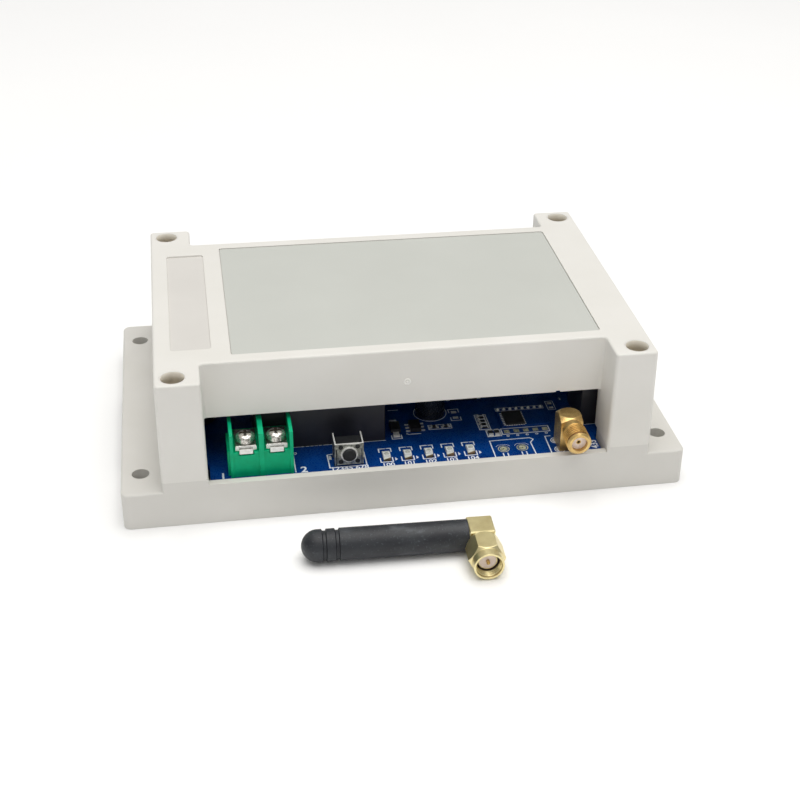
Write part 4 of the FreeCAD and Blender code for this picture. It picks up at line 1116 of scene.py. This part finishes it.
def mark_chip_parts():
    """Groups of chip parts, and an empty place beside them."""
    small = [box for box in chips if box[0].x < radio_low.x - 10]
    draw_box(small[0][0].x - 0.6, small[-1][1].x + 0.65, small[0][0].y - 0.6, small[0][1].y + 0.6)
    x = small[-1][1].x + 2.6
    y = small[0][1].y + 5.0
    draw_bracket(x - 1.35, x + 1.35, y + 2.9, -1.8)
    draw_bracket(x - 1.35, x + 1.35, y - 2.9, 1.8)
    for pad_y in (y + 1.4, y - 1.4):
        solder(x, pad_y, 1.5, 1.2, 0.05)
    near_radio = [box for box in chips if radio_low.x - 7 < box[0].x < radio_low.x]
    row = [box for box in near_radio if box[1].x - box[0].x > long_chip_mm]
    row_low = min(box[0].y for box in row)
    row_high = max(box[1].y for box in row)
    draw_box(row[0][0].x - 0.5, row[0][1].x + 0.5, row_low - 0.6, row_high + 0.6)
    pair = [(low, high) for low, high in chips
            if high.x - low.x < long_chip_mm and high.y - low.y > long_chip_mm]
    draw_box(pair[0][0].x - 0.35, pair[-1][1].x + 0.35, pair[0][0].y - 0.35, pair[0][1].y + 0.35)
    for low, high in row:
        add_line(marks, [(low.x + 0.15, low.y + 0.3), (high.x - 0.15, low.y + 0.3)], high.z + print_lift_mm,
                 0.46)
    for boxes, length in ((row, 0.4), (small, 0.9)):
        for low, high in boxes:
            for x in (low.x, high.x):
                solder(x, (low.y + high.y) / 2, length, high.y - low.y + 0.1, 0.07)
    for low, high in pair:
        for y in (low.y, high.y):
            solder((low.x + high.x) / 2, y, high.x - low.x + 0.1, 0.9, 0.07)


def mark_bare_pads():
    """Row of five bare pads in front of the radio board."""
    x0 = radio_low.x - 0.5
    y1 = radio_low.y - 0.35
    y0 = y1 - 2.75
    draw_box(x0, radio_high.x - 0.7, y0, y1)
    for i in range(5):
        x = x0 + 1.4 + 2.6 * i
        add_mound(tinned, x, (y0 + y1) / 2, board_top, 1.5, 1.5, 0.06 if i % 2 else 0.12)
        draw_ring(x - 0.15, y0 - 0.85, 0.42, 0.2)


def mark_radio_board():
    pins = solids_of("radio_pins")
    y = (pins[0][0].y + pins[0][1].y) / 2
    add_frame(marks, pins[0][0].x - 0.2, pins[-1][1].x + 0.25, y - 0.75, y + 0.8,
              radio_high.z + print_lift_mm, 0.16)
    for low, high in pins:
        add_mound(pads, (low.x + high.x) / 2, y, radio_high.z, 0.8, 0.8, 0.05)
    low, high = box_mm("radio_chip")
    for i in range(radio_chip_pads):
        share = (i + 0.5) / radio_chip_pads
        x = low.x + share * (high.x - low.x)
        y = low.y + share * (high.y - low.y)
        add_mound(pads, x, low.y - 0.05, radio_high.z, 0.5, 0.26, 0.12)
        add_mound(pads, low.x - 0.25, y, radio_high.z, 0.7, 0.5, 0.1)
        add_mound(pads, high.x + 0.2, y, radio_high.z, 0.5, 0.5, 0.1)


def mark_empty_connector():
    """Footprint of a two-way connector that isn't fitted."""
    y = lamps[0][0].y + 1.4
    pad_xs = (radio_low.x - 1.77, radio_low.x + 3.21)
    left = pad_xs[0] - 2.9
    right = pad_xs[1] + 2.9
    draw([(left, cut_y), (left, y + 4.2), (right, y + 4.35), (right + 0.85, y + 3.5), (right - 0.2, y + 2.1),
          (right, cut_y)])
    for x in pad_xs:
        add_disc(tinned, x, y, board_top, ring_pad_radius_mm, ring_pad_height_mm, ring_pad_hole_mm, 32)
        add_disc(tinned, x, y, board_top, ring_pad_fill_mm, ring_pad_fill_height_mm,
                 ring_pad_fill_bore_mm, 28)
        # A near-black disc on top of the board stands in for the hole: painted shade.
        add_disc(holes, x, y, board_top + bore_lift_mm, ring_pad_bore_mm, bore_height_mm)
        for side in (-0.6, 0.6):
            draw([(x + side, y - 2.0), (x + side, cut_y)])
        draw([(x - 1.9, y + 1.1), (x - 1.2, y + 1.95), (x + 1.2, y + 1.95), (x + 1.9, y + 1.1)],
             faint_line_mm)


def mark_jack():
    draw([(jack_low.x - 0.2, jack_high.y + 1.45), (jack_low.x - 1.75, jack_high.y + 1.45),
          (jack_low.x - 1.85, cut_y)])
    for x in (jack_low.x + 0.7, jack_high.x - 0.7):
        for y in (jack_high.y - 0.9, jack_high.y - 5.3):
            draw_ring(x, y, 1.5, 1.25, 28)
            add_disc(pads, x, y, board_top, jack_pad_radius_mm, jack_pad_height_mm, jack_pad_bore_mm)
    draw_number("433", jack_high.x + 3.9, sill_edge + 2.4, 1.9, 90.0)
    draw_number("14", jack_low.x + 0.6, radio_low.y + 1.6, 0.8)


def mark_filter():
    """Filter capacitor at the far right, and a small footprint at the radio board's rear corner."""
    low, high = box_mm("filter_capacitor")
    draw([(low.x - 0.3, low.y - 0.25), (high.x + 0.3, low.y - 0.25)], thin_line_mm)
    x = radio_high.x + 2.6
    y = radio_high.y + 0.3
    draw_box(x - 1.05, x + 1.05, y - 2.2, y + 2.2, thin_line_mm)
    for pad_y in (y - 1.1, y + 1.1):
        solder(x, pad_y, 1.2, 1.0, 0.1)
    draw_number("2", x + 3.4, y + 3.0, 1.0)


def mark_back():
    """Output terminals, relays and crystal."""
    low, high = box_mm("output_terminal_body")
    draw_number("8", low.x - 2.2, high.y - 2.2, 2.3, 180.0)
    draw_number("1", high.x + 2.2, high.y - 2.2, 2.3, 180.0)
    for x in (low.x - 0.5, high.x + 0.5):
        draw([(x, high.y - 0.2), (x, low.y - 0.5)])
    for low, high in solids_of("relays") + [box_mm("crystal")]:
        draw_box(low.x - outline_mm, high.x + outline_mm, low.y - outline_mm, high.y + outline_mm,
                 thin_line_mm)


def run_tracks():
    """Covered tracks behind the lamps and beside the key."""
    for i, (low, high) in enumerate(lamps):
        x = (low.x + high.x) / 2 + 0.3
        y = high.y + 3.6 + 0.45 * i
        add_line(tracks, [(x, high.y + 0.1), (x, y - track_bend_mm), (x + track_bend_mm, y),
                          (x + track_bend_mm + 1.6, y)], mark_z)
    for i in range(5):
        x = key_low.x - 3.2 - 1.1 * i
        y = key_low.y + 6.6 + 0.5 * i
        bend_y = y + track_bend_mm
        add_line(tracks, [(x, y), (x, bend_y), (x + track_bend_mm, bend_y + track_bend_mm),
                          (x + track_bend_mm, key_low.y + 12)], mark_z)


radio_low, radio_high = box_mm("radio_board")
mark_lamps()
mark_key()
mark_supply()
mark_regulator()
mark_chip_parts()
mark_bare_pads()
mark_radio_board()
mark_empty_connector()
mark_jack()
mark_filter()
mark_back()
run_tracks()

# Pieces on the board: name, what it is made of, its material, its slot
board_pieces = [
    ("board_print", marks, "silk", "label"),
    ("board_pads", pads, "tin", "solder"),
    ("board_tinned_pads", tinned, "flux", "solder"),
    ("board_holes_painted_shade", holes, "hole", "chip_black"),
    ("board_tracks", tracks, "track", "board"),
]
for name, work, key, slot in board_pieces:
    piece(name, mesh_from(name, work), [key], "housing", smooth=False)
